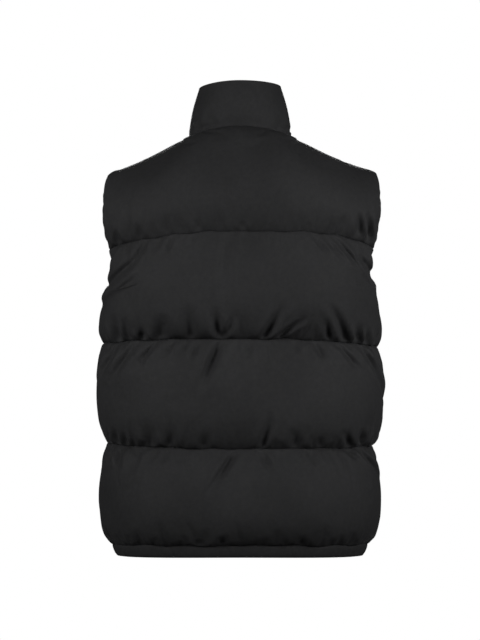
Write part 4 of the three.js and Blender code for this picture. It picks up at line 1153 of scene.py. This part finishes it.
def thread_material():
    material, tree, shader = nodes_of("sewing_thread")
    place = add(tree, "TexCoord").outputs["Object"]
    inputs = {"Vector": place, "Scale": 900.0, "Distortion": 1.5}
    twist = add(tree, "TexWave", inputs, bands_direction="DIAGONAL")
    fuzz = noise(tree, place, 2500.0)
    colour = ramp(tree, fuzz, [(0.2, (0.010, 0.010, 0.011)), (0.8, (0.030, 0.030, 0.033))])
    tree.links.new(colour, shader.inputs["Base Color"])
    tree.links.new(mapped(tree, fuzz, 0.2, 0.8, 0.45, 0.62), shader.inputs["Roughness"])
    tree.links.new(bump(tree, twist.outputs["Fac"], 0.4, 0.0001), shader.inputs["Normal"])
    return material


def teeth_material():
    material, tree, shader = nodes_of("zip_teeth_plastic")
    place = add(tree, "TexCoord").outputs["Object"]
    grain = noise(tree, place, 1400.0, 4.0, 0.6)
    rub = noise(tree, place, 90.0)
    colour = ramp(tree, rub, [(0.3, (0.010, 0.010, 0.011)), (0.75, (0.020, 0.020, 0.022))])
    tree.links.new(colour, shader.inputs["Base Color"])
    tree.links.new(mapped(tree, grain, 0.2, 0.8, 0.48, 0.62), shader.inputs["Roughness"])
    tree.links.new(bump(tree, grain, 0.15, 0.00005), shader.inputs["Normal"])
    return material


def metal_material():
    """Black coating over metal, rubbed a little lighter here and there."""
    material, tree, shader = nodes_of("coated_metal")
    place = add(tree, "TexCoord").outputs["Object"]
    rub = noise(tree, place, 420.0, 5.0, 0.6)
    broad = noise(tree, place, 60.0)
    tone = math_node(tree, "MULTIPLY", rub, broad)
    stops = [(0.25, (0.012, 0.012, 0.013)), (0.42, (0.022, 0.022, 0.024)), (0.6, (0.07, 0.07, 0.075))]
    colour = ramp(tree, tone, stops)
    tree.links.new(colour, shader.inputs["Base Color"])
    tree.links.new(mapped(tree, rub, 0.2, 0.8, 0.26, 0.42), shader.inputs["Roughness"])
    shader.inputs["Metallic"].default_value = 0.4
    tree.links.new(bump(tree, rub, 0.12, 0.00006), shader.inputs["Normal"])
    return material


def floor_material():
    material, tree, shader = nodes_of("studio_floor")
    place = add(tree, "TexCoord").outputs["Object"]
    colour = ramp(tree, noise(tree, place, 1.5), [(0.3, (0.76, 0.76, 0.76)), (0.7, (0.80, 0.80, 0.80))])
    tree.links.new(colour, shader.inputs["Base Color"])
    shader.inputs["Roughness"].default_value = 0.9
    seen = add(tree, "LightPath").outputs["Is Camera Ray"]
    shader.inputs["Emission Color"].default_value = (1, 1, 1, 1)
    tree.links.new(mapped(tree, seen, 0, 1, 0, FLOOR_GLOW), shader.inputs["Emission Strength"])
    return material


# The zip


def zip_line():
    """Middle line of the zip's base, from the hem to the collar's top."""
    one = np.array([1.0])
    rows = []
    for seam in range(YOKE + 1):
        shares = np.linspace(0, 1, 24, endpoint=False)
        rows += [inside_point(one, FRONT, seam, one, np.array([s])) for s in shares]
    rows += [collar_inside(one, -one, one, np.array([s])) for s in np.linspace(0, 1, 20)]
    line = np.concatenate(rows)
    line[:, 0] = 0
    return line


TOOTH_PITCH = 2.9
TOOTH_HEIGHT = 2.0
TOOTH_OUT = (2.3, 4.9)
TOOTH_MIDDLE = -0.9
CHAIN_LOW_Z = -633
CHAIN_HIGH_Z = 38


def tooth_outline(side):
    """Plan of one moulded tooth: wide at the tape, waisted, with a round head past the middle."""
    wide, waist, head = TOOTH_HEIGHT / 2, 0.62, 0.92
    right = [(-2.9, wide), (-1.5, wide), (-0.8, waist), (-0.2, waist)]
    right += [(0.25, head), (0.8, head * 0.8), (1.0, 0.3)]
    outline = right + [(x, -z) for x, z in reversed(right)]
    return [(side * x, z) for x, z in outline]


def zip_teeth(line):
    spots, along, _ = resample(line, TOOTH_PITCH / 2)
    points, faces = [], []
    low, high = TOOTH_OUT
    sections = ((low, 0.94), (low + 0.3, 1.0), (high - 0.45, 1.0), (high, 0.8))
    for index, (spot, ahead) in enumerate(zip(spots, along)):
        if not CHAIN_LOW_Z < spot[2] < CHAIN_HIGH_Z:
            continue
        side = 1 if index % 2 else -1
        out = unit(np.array([0, -ahead[2], ahead[1]]))
        outline = tooth_outline(side)
        if side < 0:
            outline = outline[::-1]
        first, count = len(points), len(outline)
        for away, size in sections:
            for x, z in outline:
                centre = side * TOOTH_MIDDLE
                across = np.array([centre + (x - centre) * size, 0, 0])
                points.append(spot + across + ahead * z * size + out * away)
        faces += tube_faces(first, count, len(sections), False)
    mesh = bpy.data.meshes.new("zip_teeth")
    mesh.from_pydata((np.array(points) * MM).tolist(), [], faces)
    mesh.shade_flat()
    piece = new_piece("zip_teeth", mesh)
    make_outward(piece)
    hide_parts("zip_chain")
    return piece


def make_outward(piece):
    work = bmesh.new()
    work.from_mesh(piece.data)
    bmesh.ops.recalc_face_normals(work, faces=work.faces)
    work.to_mesh(piece.data)
    work.free()


def rounded_copy(node, name, body, width):
    """The solid of a node with its edges rounded."""
    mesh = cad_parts[node].data.copy()
    mesh.name = name
    work = bmesh.new()
    work.from_mesh(mesh)
    bmesh.ops.remove_doubles(work, verts=work.verts, dist=1e-6)
    bmesh.ops.dissolve_limit(work, angle_limit=math.radians(1), verts=work.verts, edges=work.edges)
    work.to_mesh(mesh)
    work.free()
    mesh.materials.clear()
    piece = new_piece(name, mesh, body)
    bevel = piece.modifiers.new("round", "BEVEL")
    bevel.width = width * MM
    bevel.segments = 3
    bevel.limit_method = "ANGLE"
    bevel.angle_limit = math.radians(30)
    bevel.harden_normals = False
    apply_modifiers(piece)
    piece.data.shade_smooth()
    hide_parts(node)
    return piece


# The vest

SHELL = shell_material()
TAPE_CLOTH = tape_material()
THREAD = thread_material()
TEETH = teeth_material()
METAL = metal_material()

panels = []
for baffle in BAFFLES:
    panels.append(Panel(BACK, 0, baffle))
    panels.append(Panel(FRONT, LEFT, baffle))
    panels.append(Panel(FRONT, RIGHT, baffle))
outsides = [panel.creased_outside() for panel in panels]
shapes = []
for panel, start in zip(panels, outsides):
    hold = np.where(border_of(start), 1.0, PADDING)
    shapes.append((panel.name, start, spare_cloth(panel), hold))
moves = relaxed(shapes)
for index, move in enumerate(moves):
    outsides[index] = outsides[index] + limited(softened(move), MOST_MOVE)
for panel, outer in zip(panels, outsides):
    padded_piece(panel.name + "_puff", panel_wall(panel, outer), panel.name)

collar = Collar()
padded_piece("collar_stand", collar_wall(collar, collar.creased_outside()), "collar")

for face, side in ((BACK, 0), (FRONT, LEFT), (FRONT, RIGHT)):
    node, mesh = hem_band(face, side)
    padded_piece(node + "_cloth", mesh, node)

SEAM_THREAD = 0.25  # how far the thread of a seam stands out of the cloth
for seam in range(1, YOKE + 1):
    lines = []
    for face in (BACK, FRONT):
        lines += seam_line(face, seam, 0, SEAM_WALL + SEAM_THREAD)
    piece = stitches(SEAMS[seam]["name"] + "_stitches", lines)
    piece.data.materials.append(THREAD)

line = zip_line()
piece = zip_teeth(line)
piece.data.materials.append(TEETH)
for node in ("zip_bottom_stop", "zip_top_stop_left", "zip_top_stop_right"):
    rounded_copy(node, node + "_metal", "garment", 0.35).data.materials.append(METAL)
rounded_copy("slider", "slider_metal", "garment", 0.28).data.materials.append(METAL)
rounded_copy("pull_tab", "pull_tab_metal", "pull_tab", 0.3).data.materials.append(METAL)
for node in ("zip_tape_left", "zip_tape_right"):
    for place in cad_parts[node].material_slots:
        place.material = TAPE_CLOTH

# Floor, camera and lights

FLOOR_Z = -1.6
FLOOR_HALF = 4.5
FLOOR_GLOW = 0.9  # the floor looks pale, yet throws little light up at the vest
LAMP_DISTANCE = 2.0
LAMP_HEIGHT = 0.2
LAMP_SPREAD = math.radians(54)


def add_floor():
    half = FLOOR_HALF
    mesh = bpy.data.meshes.new("floor")
    points = [(-half, -half, FLOOR_Z), (half, -half, FLOOR_Z), (half, half, FLOOR_Z), (-half, half, FLOOR_Z)]
    mesh.from_pydata(points, [], [(0, 1, 2, 3)])
    floor = bpy.data.objects.new("floor", mesh)
    bpy.context.scene.collection.objects.link(floor)
    floor.data.materials.append(floor_material())


def area_light(name, place, target, size, power):
    data = bpy.data.lights.new(name, "AREA")
    data.shape = "RECTANGLE"
    data.size, data.size_y = size
    data.energy = power
    data.spread = LAMP_SPREAD
    light = bpy.data.objects.new(name, data)
    light.location = place
    light.rotation_euler = (Vector(target) - Vector(place)).to_track_quat("-Z", "Y").to_euler()
    bpy.context.scene.collection.objects.link(light)
    return light


# The world looks white, yet throws little light at the vest
WORLD_LIGHT = 0.045
add_floor()
world = bpy.data.worlds.new("studio")
world.use_nodes = True
background = world.node_tree.nodes["Background"]
background.inputs["Color"].default_value = (1, 1, 1, 1)
seen = add(world.node_tree, "LightPath").outputs["Is Camera Ray"]
level = mapped(world.node_tree, seen, 0, 1, WORLD_LIGHT, 1)
world.node_tree.links.new(level, background.inputs["Strength"])
bpy.context.scene.world = world
bpy.context.scene.view_settings.view_transform = "Standard"

middle = (0, 0, -0.25)
for name, turn, power in (("left", 52, 2.55), ("right", -52, 2.9), ("front", 180, 5.0)):
    angle = math.radians(turn)
    place = (LAMP_DISTANCE * math.sin(angle), LAMP_DISTANCE * math.cos(angle), LAMP_HEIGHT)
    area_light(name + "_lamp", place, middle, (1.1, 0.9), power)

CAMERA_DISTANCE = 3.1
camera_data = bpy.data.cameras.new("camera")
camera_data.sensor_width = 36
camera_data.lens = 112.5
camera = bpy.data.objects.new("camera", camera_data)
camera.location = (0, CAMERA_DISTANCE, -0.285)
camera.rotation_euler = (math.pi / 2, 0, math.pi)
bpy.context.scene.collection.objects.link(camera)
bpy.context.scene.camera = camera
